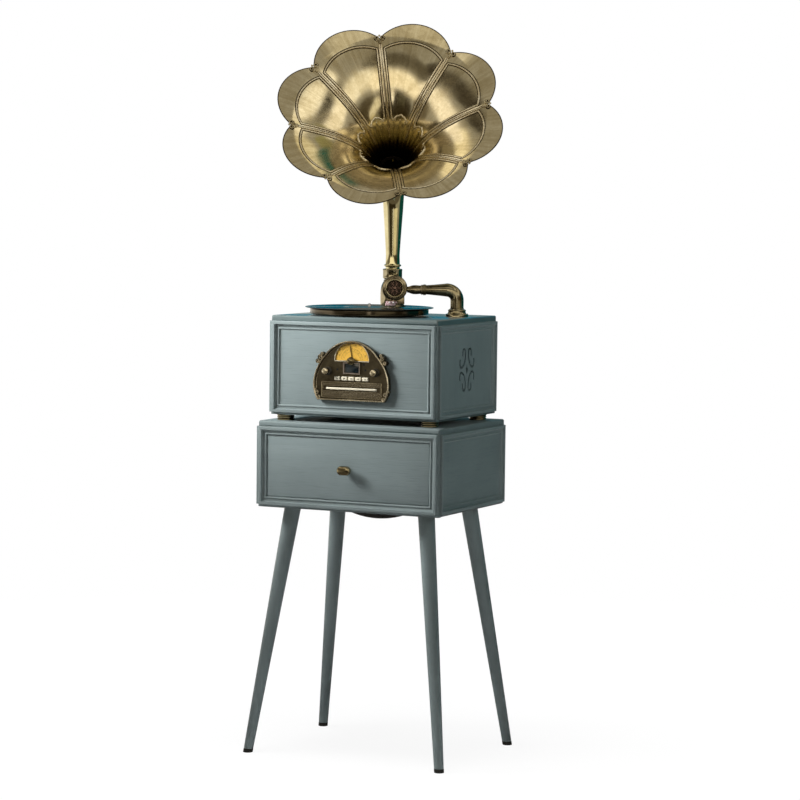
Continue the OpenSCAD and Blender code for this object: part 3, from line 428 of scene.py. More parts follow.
SAGE = (0.215, 0.262, 0.268)
SAGE_X, SAGE_Y, SAGE_Z = (PaintedWood("sage_paint_" + grain.name[-1].lower(), "painted_wood",
                                      SAGE, grain) for grain in Grain)
# The cabinet top's paint: a darker copy of the sage, painted shade that keeps the top dark under
# the key lamp, under a clear coat.
SAGE_TOP_SHADED = PaintedWood("sage_paint_top", "painted_wood", (0.13, 0.17, 0.175), roughness=0.38,
                       relief=0.06 * MM, coat=1.0)
# A lighter copy of the sage paint for the mouldings: painted light for their lit ridges.
SAGE_MOULDING_LIT = PaintedWood("sage_paint_moulding", "painted_wood", (0.235, 0.283, 0.288),
                            roughness=0.36, relief=0.10 * MM)
SAGE_UNDER = PaintedWood("sage_paint_under", "painted_wood_dark", (0.12, 0.15, 0.15))
BACK_PAINT = PaintedWood("back_paint", "back_board", (0.05, 0.062, 0.062), roughness=0.6)
BEECH = BareWood("beech", "inner_wood", (0.62, 0.44, 0.25))

HORN_BRASS = HornBrass("horn_brass", "horn_brass", (0.86, 0.77, 0.56), (0.66, 0.56, 0.36),
                       Brushing.LENGTHWISE, roughness=0.11, patina_share=0.35,
                       relief=0.006 * MM, uses_uv=True)
BEAD_BRASS = Brass("bead_brass", "horn_brass", (0.97, 0.92, 0.78), (0.72, 0.62, 0.44),
                   roughness=0.24, patina_share=0.15)
TUBE_BRASS = Brass("tube_brass", "bright_brass", (0.78, 0.71, 0.45), (0.60, 0.53, 0.31),
                   roughness=0.07, patina_share=0.15, relief=0.004 * MM)
BRIGHT_BRASS = Brass("bright_brass", "bright_brass", (0.50, 0.44, 0.30), (0.24, 0.20, 0.12),
                     roughness=0.09, patina_share=0.2, relief=0.005 * MM)
DARK_BRASS = Brass("dark_brass", "dark_brass", (0.34, 0.28, 0.18), (0.08, 0.062, 0.04),
                   roughness=0.30, patina_share=0.7)
CLIP_BRASS = Brass("clip_brass", "dark_brass", (0.82, 0.73, 0.52), (0.26, 0.20, 0.11),
                   roughness=0.20)
# Dark brass: the real dark rim wire, painted shade in the bead grooves and the hollows of the
# curls, and the dark line down the seams.
PATINA_AND_SHADE = Brass("dark_patina", "dark_brass", (0.07, 0.052, 0.03), (0.022, 0.016, 0.01),
               roughness=0.40, patina_share=0.6)
DARK_GROUND = Brass("dark_ground", "dark_brass", (0.06, 0.045, 0.035), (0.02, 0.015, 0.012),
                    roughness=0.5, patina_share=0.6)
ROSETTE_RED = Brass("rosette_metal", "dark_brass", (0.26, 0.17, 0.14), (0.10, 0.06, 0.05),
                    roughness=0.25)
HEAD_BRONZE = Brass("head_bronze", "dark_brass", (0.36, 0.30, 0.20), (0.12, 0.095, 0.06),
                    roughness=0.22)
PANEL_BRONZE = Brass("panel_bronze", "bronze_panel", (0.17, 0.145, 0.10),
                     (0.045, 0.038, 0.026), roughness=0.30, patina_share=0.6)
PANEL_EDGE = Brass("panel_edge", "bronze_panel", (0.95, 0.87, 0.70), (0.40, 0.33, 0.23),
                   roughness=0.24)

PLAIN_STEEL = Steel("plain_steel", "steel", (0.52, 0.53, 0.54))
PLATTER_METAL = Steel("platter_metal", "platter_metal", (0.11, 0.09, 0.062), roughness=0.10)
WINDOW_FRAME = Steel("window_frame", "bronze_panel", (0.52, 0.46, 0.45), roughness=0.3)

BLACK_STEEL = Moulded("black_steel", "black_steel", (0.012, 0.012, 0.013), 0.7, gloss=0.2)
RUBBER = Moulded("black_rubber", "rubber_tip", (0.012, 0.012, 0.012), 0.7)
BELT = Moulded("belt_rubber", "belt_rubber", (0.012, 0.012, 0.012), 0.6)
CREAM = Moulded("cream_plastic", "cream_plastic", (0.80, 0.74, 0.58), 0.25, coat=0.6)
CREAM_LINE = Moulded("cream_line", "cream_plastic", (0.62, 0.55, 0.40), 0.3, coat=0.3)
BLACK_PLASTIC = Moulded("black_plastic", "black_plastic", (0.014, 0.014, 0.015), 0.4)
KNOB_DARK = Moulded("knob_barrel", "black_plastic", (0.035, 0.03, 0.022), 0.28, coat=0.4)
DIAL_INK = Moulded("dial_ink", "black_plastic", (0.02, 0.014, 0.008), 0.6)
AMBER = Moulded("amber_dial", "amber_dial", (0.75, 0.44, 0.07), 0.3, coat=0.5)
WINDOW = Moulded("dark_window", "dark_window", (0.006, 0.012, 0.016), 0.06, coat=1.0)
BOARD_GREEN = Moulded("board_green", "circuit_green", (0.03, 0.16, 0.07), 0.4)
CONE_PAPER = Moulded("cone_paper", "paper_cone", (0.03, 0.03, 0.033), 0.8, grain_scale=300.0)
CLOTH = Moulded("speaker_cloth", "cloth", (0.01, 0.011, 0.011), 0.9, grain_scale=2500.0,
                relief=0.2 * MM)
VINYL = Moulded("vinyl", "vinyl", (0.004, 0.010, 0.012), 0.16, relief=0.004 * MM, coat=0.6)
LABEL = Moulded("record_label", "vinyl", (0.03, 0.05, 0.05), 0.3, relief=0.004 * MM)
PINK = Moulded("pink_plastic", "pink_plastic", (0.74, 0.50, 0.53), 0.3, coat=0.4)
WHITE_PINS = Moulded("white_pins", "pink_plastic", (0.80, 0.78, 0.76), 0.3, coat=0.3)

NODE_GROUPS: tuple[tuple[Finish, str], ...] = (
    (SAGE_Y, "stand_sides"), (SAGE_Z, "cabinet_sides"), (BACK_PAINT, "stand_back cabinet_back"),
    (BEECH, "drawer_runners drawer_box"), (PLAIN_STEEL, "cd_mechanism power_supply motor"),
    (BLACK_STEEL, "bass_grille"), (CONE_PAPER, "bass_driver side_drivers"),
    (CLOTH, "grille_cloths"), (PANEL_BRONZE, "fascia"), (BLACK_PLASTIC, "rear_sockets"),
    (CREAM, "cd_tray"), (BOARD_GREEN, "circuit_board"), (BELT, "drive_belt"),
    (BRIGHT_BRASS, "platter_bearing motor_pulley"),
)


@dataclass
class Blank:
    """A piece on the bench, drawn in millimetres: a mesh that grows shape by shape."""

    name: str
    bm: bmesh.types.BMesh = field(default_factory=bmesh.new)

    def newest(self, known: set[bmesh.types.BMVert]) -> list[bmesh.types.BMVert]:
        """The vertices that aren't among the known ones."""
        return [vert for vert in self.bm.verts if vert not in known]

    def lathe(self, profile: Sequence[Point], segments: int = 64,
              place: Matrix = UPRIGHT, closed: bool = False) -> "Blank":
        """Turns a profile round Z.

        Args:
            profile: points of radius and height, from one end to the other.
            segments: how many steps the full turn has.
            place: where the turned shape goes.
            closed: True when the profile is a ring, such as a tube's wall.

        Returns:
            The blank itself.
        """
        bm, before = self.bm, set(self.bm.verts)
        verts = [bm.verts.new((r, 0, z)) for r, z in profile]
        pairs = list(zip(verts, verts[1:])) + ([(verts[-1], verts[0])] if closed else [])
        edges = [bm.edges.new(pair) for pair in pairs]
        bmesh.ops.spin(bm, geom=verts + edges, cent=(0, 0, 0), axis=(0, 0, 1), angle=TURN,
                       steps=segments, use_merge=True, use_duplicate=False)
        bmesh.ops.remove_doubles(bm, verts=self.newest(before), dist=0.001)
        bmesh.ops.transform(bm, matrix=place, verts=self.newest(before))
        return self

    def sweep(self, section: Sequence[Point], places: Sequence[Matrix], closed: bool = False,
              capped: bool = True) -> "Blank":
        """Draws a closed section through a row of places.

        Args:
            section: the section's points in the plane of a place's first two axes.
            places: where the section stands, one after the other.
            closed: True when the last place joins the first.
            capped: True to close the two ends with a face.

        Returns:
            The blank itself.
        """
        bm = self.bm
        ring = [bm.verts.new((x, y, 0)) for x, y in section]
        edges = [bm.edges.new(pair) for pair in zip(ring, ring[1:] + ring[:1])]
        bmesh.ops.transform(bm, matrix=places[0], verts=ring)
        first = list(edges)
        for here, there in zip(places, places[1:]):
            made = bmesh.ops.extrude_edge_only(bm, edges=edges)["geom"]
            verts = {g for g in made if isinstance(g, bmesh.types.BMVert)}
            edges = [g for g in made if isinstance(g, bmesh.types.BMEdge)
                     and all(v in verts for v in g.verts)]
            bmesh.ops.transform(bm, matrix=there @ here.inverted(), verts=list(verts))
        if closed:
            bmesh.ops.bridge_loops(bm, edges=first + edges)
        elif capped:
            bmesh.ops.contextual_create(bm, geom=first)
            bmesh.ops.contextual_create(bm, geom=edges)
        return self

    def tube(self, path: Sequence[Vector], radii: Sequence[float] | float, sides: int = 10,
             closed: bool = False, flat: float = 1.0, up: Vector = Vector((0, 0, 1)),
             capped: bool = True) -> "Blank":
        """Draws a round bar along a path.

        Args:
            path: the points that the bar follows.
            radii: its radius, or one radius for each point.
            sides: how many sides it has.
            closed: True when the last point joins the first.
            flat: its height along up, as a share of its width.
            up: the direction that its height keeps to.
            capped: True to close the two ends.

        Returns:
            The blank itself.
        """
        sizes = [radii] * len(path) if isinstance(radii, (int, float)) else list(radii)
        frames = rail(path, [up] * len(path), closed)
        places = [frame @ Matrix.Diagonal((size, size * flat, size, 1.0))
                  for frame, size in zip(frames, sizes)]
        return self.sweep(circle(sides), places, closed, capped)

    def border(self, profile: Sequence[Point], corners: Sequence[Vector],
               outward: Vector) -> "Blank":
        """Draws a profile round a flat outline, its corners mitred.

        Args:
            profile: points of width inwards and height outwards.
            corners: the outline's corners in order.
            outward: the direction that the height stands in.

        Returns:
            The blank itself.
        """
        places = []
        for i, corner in enumerate(corners):
            after = (corners[(i + 1) % len(corners)] - corner).normalized()
            before = (corners[i - 1] - corner).normalized()
            inward = after + before
            turn = Matrix((inward, outward, inward.cross(outward))).transposed().to_4x4()
            places.append(Matrix.Translation(corner) @ turn)
        return self.sweep(profile, places, closed=True)

    def block(self, low: Sequence[float], high: Sequence[float], round_off: float = 0.0,
              steps: int = 2, place: Matrix = UPRIGHT) -> "Blank":
        """Adds a box between two corners, its edges rounded.

        Args:
            low: its lowest corner.
            high: its highest corner.
            round_off: the radius of its edges, or 0 for sharp ones.
            steps: how many facets a rounded edge has.
            place: where the box goes.

        Returns:
            The blank itself.
        """
        bm, before = self.bm, set(self.bm.verts)
        size = [h - l for l, h in zip(low, high)]
        centre = [(h + l) / 2 for l, h in zip(low, high)]
        bmesh.ops.create_cube(bm, size=1.0, matrix=Matrix.Translation(centre)
                              @ Matrix.Diagonal((*size, 1.0)))
        if round_off:
            edges = list({e for v in self.newest(before) for e in v.link_edges})
            bmesh.ops.bevel(bm, geom=edges, offset=round_off, offset_type="OFFSET",
                            segments=steps, profile=0.5, affect="EDGES", material=-1)
        bmesh.ops.transform(bm, matrix=place, verts=self.newest(before))
        return self

    def slab(self, outline: Sequence[Point], low: float, high: float,
             place: Matrix = UPRIGHT) -> "Blank":
        """Adds a flat outline drawn up from one height to another and returns the blank."""
        heights = [place @ Matrix.Translation((0, 0, z)) for z in (low, high)]
        return self.sweep(outline, heights)

    def ball(self, centre: Sequence[float], radius: float, flat: float, place: Matrix) -> None:
        """Adds a small ball, its height along Z being that share of its width."""
        squash = Matrix.Diagonal((radius, radius, radius * flat, 1.0))
        bmesh.ops.create_uvsphere(self.bm, u_segments=16, v_segments=10, radius=1.0,
                                  matrix=place @ Matrix.Translation(centre) @ squash)

    def screw(self, place: Matrix, radius: float) -> None:
        """Adds a round screw head with a crossed slot.

        Args:
            place: where it stands, its head along Z.
            radius: the head's radius.
        """
        self.lathe([(0, -0.5), (radius, -0.5), (radius, 0.35), (radius * 0.82, 0.95),
                    (radius * 0.45, 1.35), (0, 1.45)], 20, place)
        half = radius * 0.55
        for turn in (0.4, 0.4 + math.pi / 2):
            self.block((-half, -0.22, 0.9), (half, 0.22, 1.5), 0, 1,
                       place @ Matrix.Rotation(turn, 4, "Z"))

    def copy_node(self, node: bpy.types.Object, round_off: float,
                  chosen: Callable[[Vector, Vector], bool]) -> "Blank":
        """Copies a node's mesh, merges its loose triangles and rounds some of its edges.

        Args:
            node: the node's object.
            round_off: the radius of the rounded edges.
            chosen: says from an edge's two ends whether it is rounded.

        Returns:
            The blank itself.
        """
        bm = self.bm
        bm.from_mesh(node.data)
        bmesh.ops.scale(bm, vec=(1 / MM,) * 3, verts=bm.verts[:])
        bmesh.ops.remove_doubles(bm, verts=bm.verts[:], dist=0.01)
        bmesh.ops.dissolve_limit(bm, angle_limit=math.radians(1.0), verts=bm.verts[:],
                                 edges=bm.edges[:])
        sharp = [e for e in bm.edges if e.is_manifold and e.calc_face_angle(0.0) > 0.6
                 and chosen(e.verts[0].co, e.verts[1].co)]
        bmesh.ops.bevel(bm, geom=sharp, offset=round_off, offset_type="OFFSET", segments=4,
                        profile=0.5, affect="EDGES", material=-1, clamp_overlap=True)
        return self


def arc(centre: Point, radius: float, start: float, end: float, steps: int) -> list[Point]:
    """Points along an arc between two angles in degrees, both ends included."""
    return [(centre[0] + radius * math.cos(a), centre[1] + radius * math.sin(a))
            for a in map(math.radians, evenly(start, end, steps))]


def rail(path: Sequence[Vector], ups: Sequence[Vector], closed: bool = False) -> list[Matrix]:
    """Places along a path, each with X across it, Y towards up and Z along it.

    Args:
        path: the points.
        ups: the upward direction at each point.
        closed: True when the last point joins the first.

    Returns:
        One place for each point.
    """
    places = []
    for i, (point, up) in enumerate(zip(path, ups)):
        ahead = path[(i + 1) % len(path)] if closed else path[min(i + 1, len(path) - 1)]
        behind = path[i - 1] if closed or i else path[0]
        along = (ahead - behind).normalized()
        across = up.cross(along).normalized()
        turn = Matrix((across, along.cross(across), along)).transposed().to_4x4()
        places.append(Matrix.Translation(point) @ turn)
    return places


def circle(sides: int) -> list[Point]:
    """The corners of a circle of radius 1."""
    return arc((0, 0), 1, 0, 360, sides)[:-1]


def rectangle(low: Point, high: Point) -> list[Point]:
    """The corners of a rectangle, in order round it."""
    return [low, (high[0], low[1]), high, (low[0], high[1])]


def evenly(first: float, last: float, steps: int) -> list[float]:
    """Numbers from first to last in even steps, both included."""
    return [first + (last - first) * i / steps for i in range(steps + 1)]


def coil(centre: Point, start: float, sweep: float, reach: Point, steps: int) -> list[Point]:
    """Points of a curl from one angle through its sweep, in radians, and from reach to reach."""
    return [(centre[0] + r * math.cos(a), centre[1] + r * math.sin(a))
            for a, r in zip(evenly(start, start + sweep, steps), evenly(*reach, steps))]


def at(x: float, y: float, z: float, turn: float = 0.0, axis: str = "Z") -> Matrix:
    """A place in millimetres, turned by so many degrees about an axis."""
    return Matrix.Translation((x, y, z)) @ Matrix.Rotation(math.radians(turn), 4, axis)


def sized(places: Iterable[Matrix], widths: Iterable[float],
          height: float | None = None) -> list[Matrix]:
    """The same places, each stretched to its width, and to one height if one is given."""
    return [place @ Matrix.Diagonal((width, height or width, 1.0, 1.0))
            for place, width in zip(places, widths)]


def upward(place: Matrix) -> Vector:
    """The direction of a place's Z axis."""
    return place.to_3x3() @ Vector((0, 0, 1))


def ease(value: float, low: float, high: float) -> float:
    """A smooth step from 0 at low to 1 at high."""
    share = min(max((value - low) / (high - low), 0.0), 1.0)
    return share * share * (3 - 2 * share)


CORNERS = [(sx, sy) for sx in (-1, 1) for sy in (-1, 1)]


@dataclass
class Assembly:
    """A sub-assembly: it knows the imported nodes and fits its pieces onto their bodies."""

    nodes: dict[str, bpy.types.Object]

    def fit(self, blank: Blank, finish: Finish, *names: str, trim: bool = False,
            smooth: float = 35.0, recalculate: bool = True) -> bpy.types.Object:
        """Ends a piece: makes its object in metres, dresses it and puts it on its body.

        Args:
            blank: the piece on the bench.
            finish: the surface finish.
            *names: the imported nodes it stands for; the first one's body carries it.
            trim: True for a piece that is added to those nodes and hides none.
            smooth: edges that turn by less than this many degrees are shaded smooth.
            recalculate: True to turn every face outwards first.

        Returns:
            The piece's object.
        """
        bm = blank.bm
        bmesh.ops.scale(bm, vec=(MM,) * 3, verts=bm.verts[:])
        if recalculate:
            bmesh.ops.recalc_face_normals(bm, faces=bm.faces[:])
        mesh = bpy.data.meshes.new(blank.name)
        bm.to_mesh(mesh)
        bm.free()
        mesh.shade_smooth()
        mesh.set_sharp_from_angle(angle=math.radians(smooth))
        mesh.materials.append(finish.material())
        piece = in_scene(blank.name, mesh)
        body = self.nodes[names[0]]["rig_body"]
        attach(piece, body)
        if not trim:
            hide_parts(*names)
        LOG.info("%s rides on %s, %d faces", blank.name, body, len(mesh.polygons))
        return piece

    def build(self) -> None:
        """Makes the sub-assembly's pieces."""
        raise NotImplementedError


@dataclass(frozen=True)
class Card:
    """A reflector, flag or backdrop that only metal and gloss see, by the way it lies."""

    azimuth: float
    elevation: float
    half_width: float
    half_height: float
    colour: Colour
    lean: float = 0.0


@dataclass
class Studio:
    """The camera at the photograph's place, the lamps, the floor and the white surround."""

    camera_yaw: float = 25.99
    camera_pitch: float = 4.237
    camera_roll: float = 0.647
    camera_distance: float = 6.8128
    camera_right: float = 0.0409
    camera_up: float = 0.0234
    aim_height: float = 0.8
    lens: float = 131.19
    floor_radius: float = 2.6
    tent_radius: float = 8.0
    tent_height: float = 1.2
    tent_colour: Colour = (0.36, 0.335, 0.27)
    below: Colour = (0.13, 0.11, 0.08)
    room_colour: Colour = (0.92, 0.97, 1.0)
    room_light: float = 0.01
    floor_light: float = 1.02
    card_edge: float = 0.22
    cards: tuple[Card, ...] = tuple(Card(*row) for row in (
        (0, -46, 180, 22, (0.08, 0.062, 0.035)),
        (14, -22, 40, 20, (0.035, 0.026, 0.012)),
        (-100, -8, 54, 11, (1.20, 1.14, 1.02)),
        (-35, 4, 16, 8, (0.16, 0.13, 0.08)),
        (148, 66, 36, 6, (0.95, 0.86, 0.60)),
        (-99, 51, 24, 6, (1.30, 1.16, 0.80), -0.3),
        (-42, 40, 35, 5, (0.05, 0.04, 0.025), -0.5),
        (-55, 30, 42, 6.5, (1.40, 1.30, 1.10), -0.44),
        (12, 20, 30, 4, (0.10, 0.085, 0.055)),
        (5, 37, 10, 3, (0.16, 0.14, 0.10)),
        (22, 48, 32, 3.5, (0.78, 0.72, 0.56)),
        (46, 40, 9, 4, (0.85, 0.80, 0.65)),
        (92, 49, 25, 5.5, (1.35, 1.27, 1.06), 0.5),
        (97, 41.5, 24, 3, (0.06, 0.05, 0.03), 0.43),
        (74, 0, 32, 10, (0.07, 0.052, 0.025), 0.3),
        (57, 17, 33, 6.5, (1.30, 1.22, 1.0), 0.28),
        (107, 36, 27, 6, (1.40, 1.30, 1.08), 0.45),
        (116, 22, 12, 7, (0.10, 0.07, 0.035), 0.3),
        (12, 7, 32, 6.5, (1.40, 1.28, 1.0)),
        (58, -8, 22, 4.5, (0.95, 0.86, 0.62)),
        (5, -7, 8, 5, (0.08, 0.07, 0.04)),
        (26, -7, 3.5, 6, (1.6, 1.5, 1.3)),
        (140, 53, 14, 4, (0.30, 0.28, 0.12)),
        (150, 0, 46, 23, (0.006, 0.075, 0.075)),
        (-160, 11, 46, 9, (0.0, 0.19, 0.27)),
        (172, 56, 22, 6, (0.03, 0.11, 0.08)),
    ))

    def build(self) -> None:
        """Sets up the view, the lamps, the floor and the world."""
        bpy.context.scene.view_settings.view_transform = "Standard"
        self.set_camera()
        self.set_world()
        floor = self.lay_floor()
        self.hang_tent()
        self.lamp("key", (-1.125, -0.713, 1.60), (-0.15, -0.15, 1.12), size=0.6, power=7.7,
                  colour=(1.0, 0.99, 0.97), spread=60)
        self.lamp("fill", (2.05, -0.36, 2.0), (0, 0, 1.3), size=1.4, power=2.2,
                  colour=(0.90, 1.0, 0.99), spread=56)
        above = self.lamp("above_floor", (-0.2, -0.4, 3.4), (0, 0, 0), size=1.2, power=34,
                          colour=(1, 1, 1), spread=90)
        only = bpy.data.collections.new("lit_from_above")
        only.objects.link(floor)
        above.light_linking.receiver_collection = only

    def set_camera(self) -> None:
        """Puts the camera where the photograph was taken from."""
        yaw, pitch = math.radians(self.camera_yaw), math.radians(self.camera_pitch)
        turn = Matrix.Rotation(yaw, 4, "Z") @ Matrix.Rotation(math.pi / 2 - pitch, 4, "X")
        aim = Vector((0, 0, self.aim_height))
        offset = turn @ Vector((self.camera_right, self.camera_up, self.camera_distance))
        roll = Matrix.Rotation(math.radians(self.camera_roll), 4, "Z")
        data = bpy.data.cameras.new("view")
        data.lens, data.sensor_width, data.clip_end = self.lens, 36.0, 100.0
        camera = in_scene("view", data)
        camera.matrix_world = Matrix.Translation(aim + offset) @ turn @ roll
        bpy.context.scene.camera = camera

    def lamp(self, name: str, place: Sequence[float], target: Sequence[float], size: float,
             power: float, colour: Colour, spread: float) -> bpy.types.Object:
        """Hangs a square soft lamp.

        Args:
            name: the lamp's name.
            place: where it hangs.
            target: the point that it faces.
            size: the length of its side.
            power: its power in watts.
            colour: its colour.
            spread: the angle in degrees that its light keeps within.

        Returns:
            The lamp.
        """
        data = bpy.data.lights.new(name, "AREA")
        data.shape, data.size, data.energy, data.color = "SQUARE", size, power, colour
        data.spread = math.radians(spread)
        lamp = in_scene(name, data)
        lamp.location = place
        aim = Vector(target) - Vector(place)
        lamp.rotation_euler = aim.to_track_quat("-Z", "Y").to_euler()
        lamp.visible_glossy = False
        return lamp

    def set_world(self) -> None:
        """White to the eye, to metal and to glass; a soft plain room to everything else."""
        world = bpy.data.worlds.new("surround")
        bpy.context.scene.world = world
        tree = ShaderTree(world, "OutputWorld")
        white = tree.node("Background", Color=(1, 1, 1))
        room = tree.node("Background", Color=self.room_colour, Strength=self.room_light)
        tree.end_in(tree.mix_shaders(tree.direct_rays(), room, white))

    def stand_still(self, name: str, bm: bmesh.types.BMesh, tree: ShaderTree) -> bpy.types.Object:
        """Links a piece of the studio, which isn't part of the object.

        Args:
            name: the piece's name.
            bm: its mesh.
            tree: its material.

        Returns:
            The piece's object.
        """
        mesh = bpy.data.meshes.new(name)
        bm.to_mesh(mesh)
        bm.free()
        mesh.materials.append(tree.owner)
        thing = in_scene(name, mesh)
        return thing

    def hang_tent(self) -> None:
        """A dome of cards round the object that only metal and gloss see."""
        bm = bmesh.new()
        bmesh.ops.create_uvsphere(bm, u_segments=48, v_segments=24, radius=self.tent_radius,
                                  matrix=Matrix.Translation((0, 0, self.tent_height)))
        bmesh.ops.reverse_faces(bm, faces=bm.faces[:])
        tree = ShaderTree(bpy.data.materials.new("tent_cards"))
        offset = tree.node("VectorMath", {"operation": "SUBTRACT"},
                           tree.node("TexCoord").outputs["Object"], (0, 0, self.tent_height))
        unit = tree.node("VectorMath", {"operation": "NORMALIZE"}, Vector=offset.outputs[0])
        parts = tree.node("SeparateXYZ", Vector=unit.outputs[0])
        back = tree.math("MULTIPLY", parts.outputs["Y"], -1.0)
        azimuth = tree.math("DEGREES", tree.math("ARCTAN2", parts.outputs["X"], back))
        elevation = tree.math("DEGREES", tree.math("ARCSINE", parts.outputs["Z"]))
        colour = tree.node("RGB").outputs[0]
        colour.default_value = (*self.tent_colour, 1)
        for card in self.cards:
            across = tree.node("Math", {"operation": "WRAP"},
                               tree.math("SUBTRACT", azimuth, card.azimuth), 180.0,
                               -180.0).outputs[0]
            rise = tree.math("SUBTRACT", tree.math("SUBTRACT", elevation, card.elevation),
                             tree.math("MULTIPLY", across, card.lean))
            wide, high = (
                tree.math("POWER", tree.math("ABSOLUTE", tree.math("DIVIDE", way, half)), power)
                for way, half, power in ((across, card.half_width, 4.0),
                                         (rise, card.half_height, 3.0)))
            reach = tree.math("ADD", wide, high)
            share = tree.span(reach, 1 - self.card_edge, 1 + 2 * self.card_edge, 1.0, 0.0)
            colour = tree.mix(share, colour, card.colour)
        tree.end_in(tree.node("Emission", Color=colour))
        tent = self.stand_still("tent", bm, tree)
        tent.visible_camera = tent.visible_diffuse = tent.visible_shadow = False
        tent.visible_transmission = tent.visible_volume_scatter = False

    def lay_floor(self) -> bpy.types.Object:
        """A pale round floor that turns pure white away from the feet but keeps the shadow."""
        bm = bmesh.new()
        bmesh.ops.create_circle(bm, cap_ends=True, segments=96, radius=self.floor_radius)
        tree = ShaderTree(bpy.data.materials.new("pale_floor"))
        matt = tree.node("BsdfDiffuse", Color=(0.80, 0.80, 0.80))
        glossy = tree.node("LightPath").outputs["Is Glossy Ray"]
        white = tree.node("Emission", Color=tree.mix(glossy, (1, 1, 1), self.below),
                          Strength=self.floor_light)
        reach = tree.node("VectorMath", {"operation": "LENGTH"},
                          Vector=tree.node("TexCoord").outputs["Object"])
        clear = tree.span(reach.outputs["Value"], 0.35, 1.0, 0.90, 1.0)
        share = tree.math("MULTIPLY", clear, tree.direct_rays())
        tree.end_in(tree.mix_shaders(share, matt, white))
        return self.stand_still("floor", bm, tree)


@dataclass
class Carcase(Assembly):
    """Boards, mouldings and feet of the stand and the cabinet."""

    stand_w: float = 464.0
    stand_y: Point = (-178.0, 178.0)
    stand_z: Point = (577.0, 777.0)
    cabinet_w: float = 426.0
    cabinet_y: Point = (-154.0, 166.0)
    cabinet_z: Point = (791.0, 1021.0)
    inset_side: float = 4.0
    inset_low: float = 5.2
    inset_top: float = 13.2
    corner_round: float = 3.6
    near: float = 0.3
    long_edge: float = 9.0
    foot_at: Point = (185.6, 130.5)

    def build(self) -> None:
        """Rounds the boards and runs the mouldings round the fronts and sides."""
        self.boards()
        for name, width, ys, zs in (("stand", self.stand_w, self.stand_y, self.stand_z),
                                    ("cabinet", self.cabinet_w, self.cabinet_y, self.cabinet_z)):
            self.mouldings(name, width / 2, ys, zs)
        self.spacer_feet()

    def boards(self) -> None:
        """Copies each board with the edges that show rounded over."""
        stand = (self.stand_w / 2, self.stand_y[0])
        cabinet = (self.cabinet_w / 2, self.cabinet_y[0])
        plan = (
            ("stand_top", SAGE_X, *stand, self.stand_z[1]),
            ("stand_bottom", SAGE_UNDER, *stand, self.stand_z[0]),
            ("stand_face_rails", SAGE_X, *stand, None),
            ("cabinet_top", SAGE_TOP_SHADED, *cabinet, self.cabinet_z[1]),
            ("cabinet_front", SAGE_X, *cabinet, None),
            ("cabinet_bottom", SAGE_UNDER, *cabinet, None),
        )
        for name, finish, half, front, rim_z in plan:
            piece = Blank(name + "_board").copy_node(self.nodes[name], self.corner_round,
                                                     partial(self.shows, half, front, rim_z))
            self.fit(piece, finish, name)

    def shows(self, half: float, front: float, rim_z: float | None, a: Vector, b: Vector) -> bool:
        """Whether an edge is an upright front corner of its box or a long one of its rim.

        Args:
            half: half the box's width.
            front: where the box's front stands.
            rim_z: the rim's height, or None where no rim shows.
            a: the edge's first end.
            b: its second end.

        Returns:
            True for an edge that is rounded.
        """
        def on(target: float, *values: float) -> bool:
            """True when every value is near the target."""
            return all(abs(value - target) < self.near for value in values)

        return (on(half, abs(a.x), abs(b.x)) and on(front, a.y, b.y)) or (
            rim_z is not None and on(rim_z, a.z, b.z) and (a - b).length > self.long_edge)

    def mouldings(self, name: str, half: float, ys: Point, zs: Point) -> None:
        """Runs the moulding round the front and both sides of a box.

        Args:
            name: the box's name, stand or cabinet.
            half: half its width.
            ys: where its front and rear stand.
            zs: where its bottom and top stand.
        """
        profile = ([(0, -0.3), (0, 5.2)] + arc((1.8, 5.2), 1.8, 180, 90, 5)
                   + arc((13, 7), 6, 180, 270, 9) + arc((16.4, 1.1), 1.9, 180, 0, 8)
                   + [(19.5, 0), (19.5, -0.3)])
        low, high = zs[0] + self.inset_low, zs[1] - self.inset_top
        x, front, rear = half - self.inset_side, ys[0] + self.inset_side, ys[1] - self.inset_side
        piece = Blank(name + "_moulding_run")
        piece.border(profile, [Vector((px, ys[0], z)) for px, z in rectangle((-x, low), (x, high))],
                     FRONTWARD)
        for side in (-1, 1):
            piece.border(profile, [Vector((side * half, y, z)) for y, z in
                                   rectangle((front, low), (rear, high))], Vector((side, 0, 0)))
        self.fit(piece, SAGE_MOULDING_LIT, name + "_mouldings")

    def spacer_feet(self) -> None:
        """Four turned brass feet between the stand and the cabinet."""
        profile = ([(0, 0)] + arc((18, 2.2), 2.2, -90, 90, 10) + [(17.3, 5)]
                   + arc((17.5, 7.4), 2.6, -80, 80, 10) + [(17.3, 10)]
                   + arc((18.5, 12), 2, -90, 90, 8) + [(0, 14)])
        piece = Blank("brass_spacers")
        for sx, sy in CORNERS:
            piece.lathe(profile, 48, at(sx * self.foot_at[0], sy * self.foot_at[1],
                                        self.stand_z[1]))
        self.fit(piece, BRIGHT_BRASS, "spacer_feet")


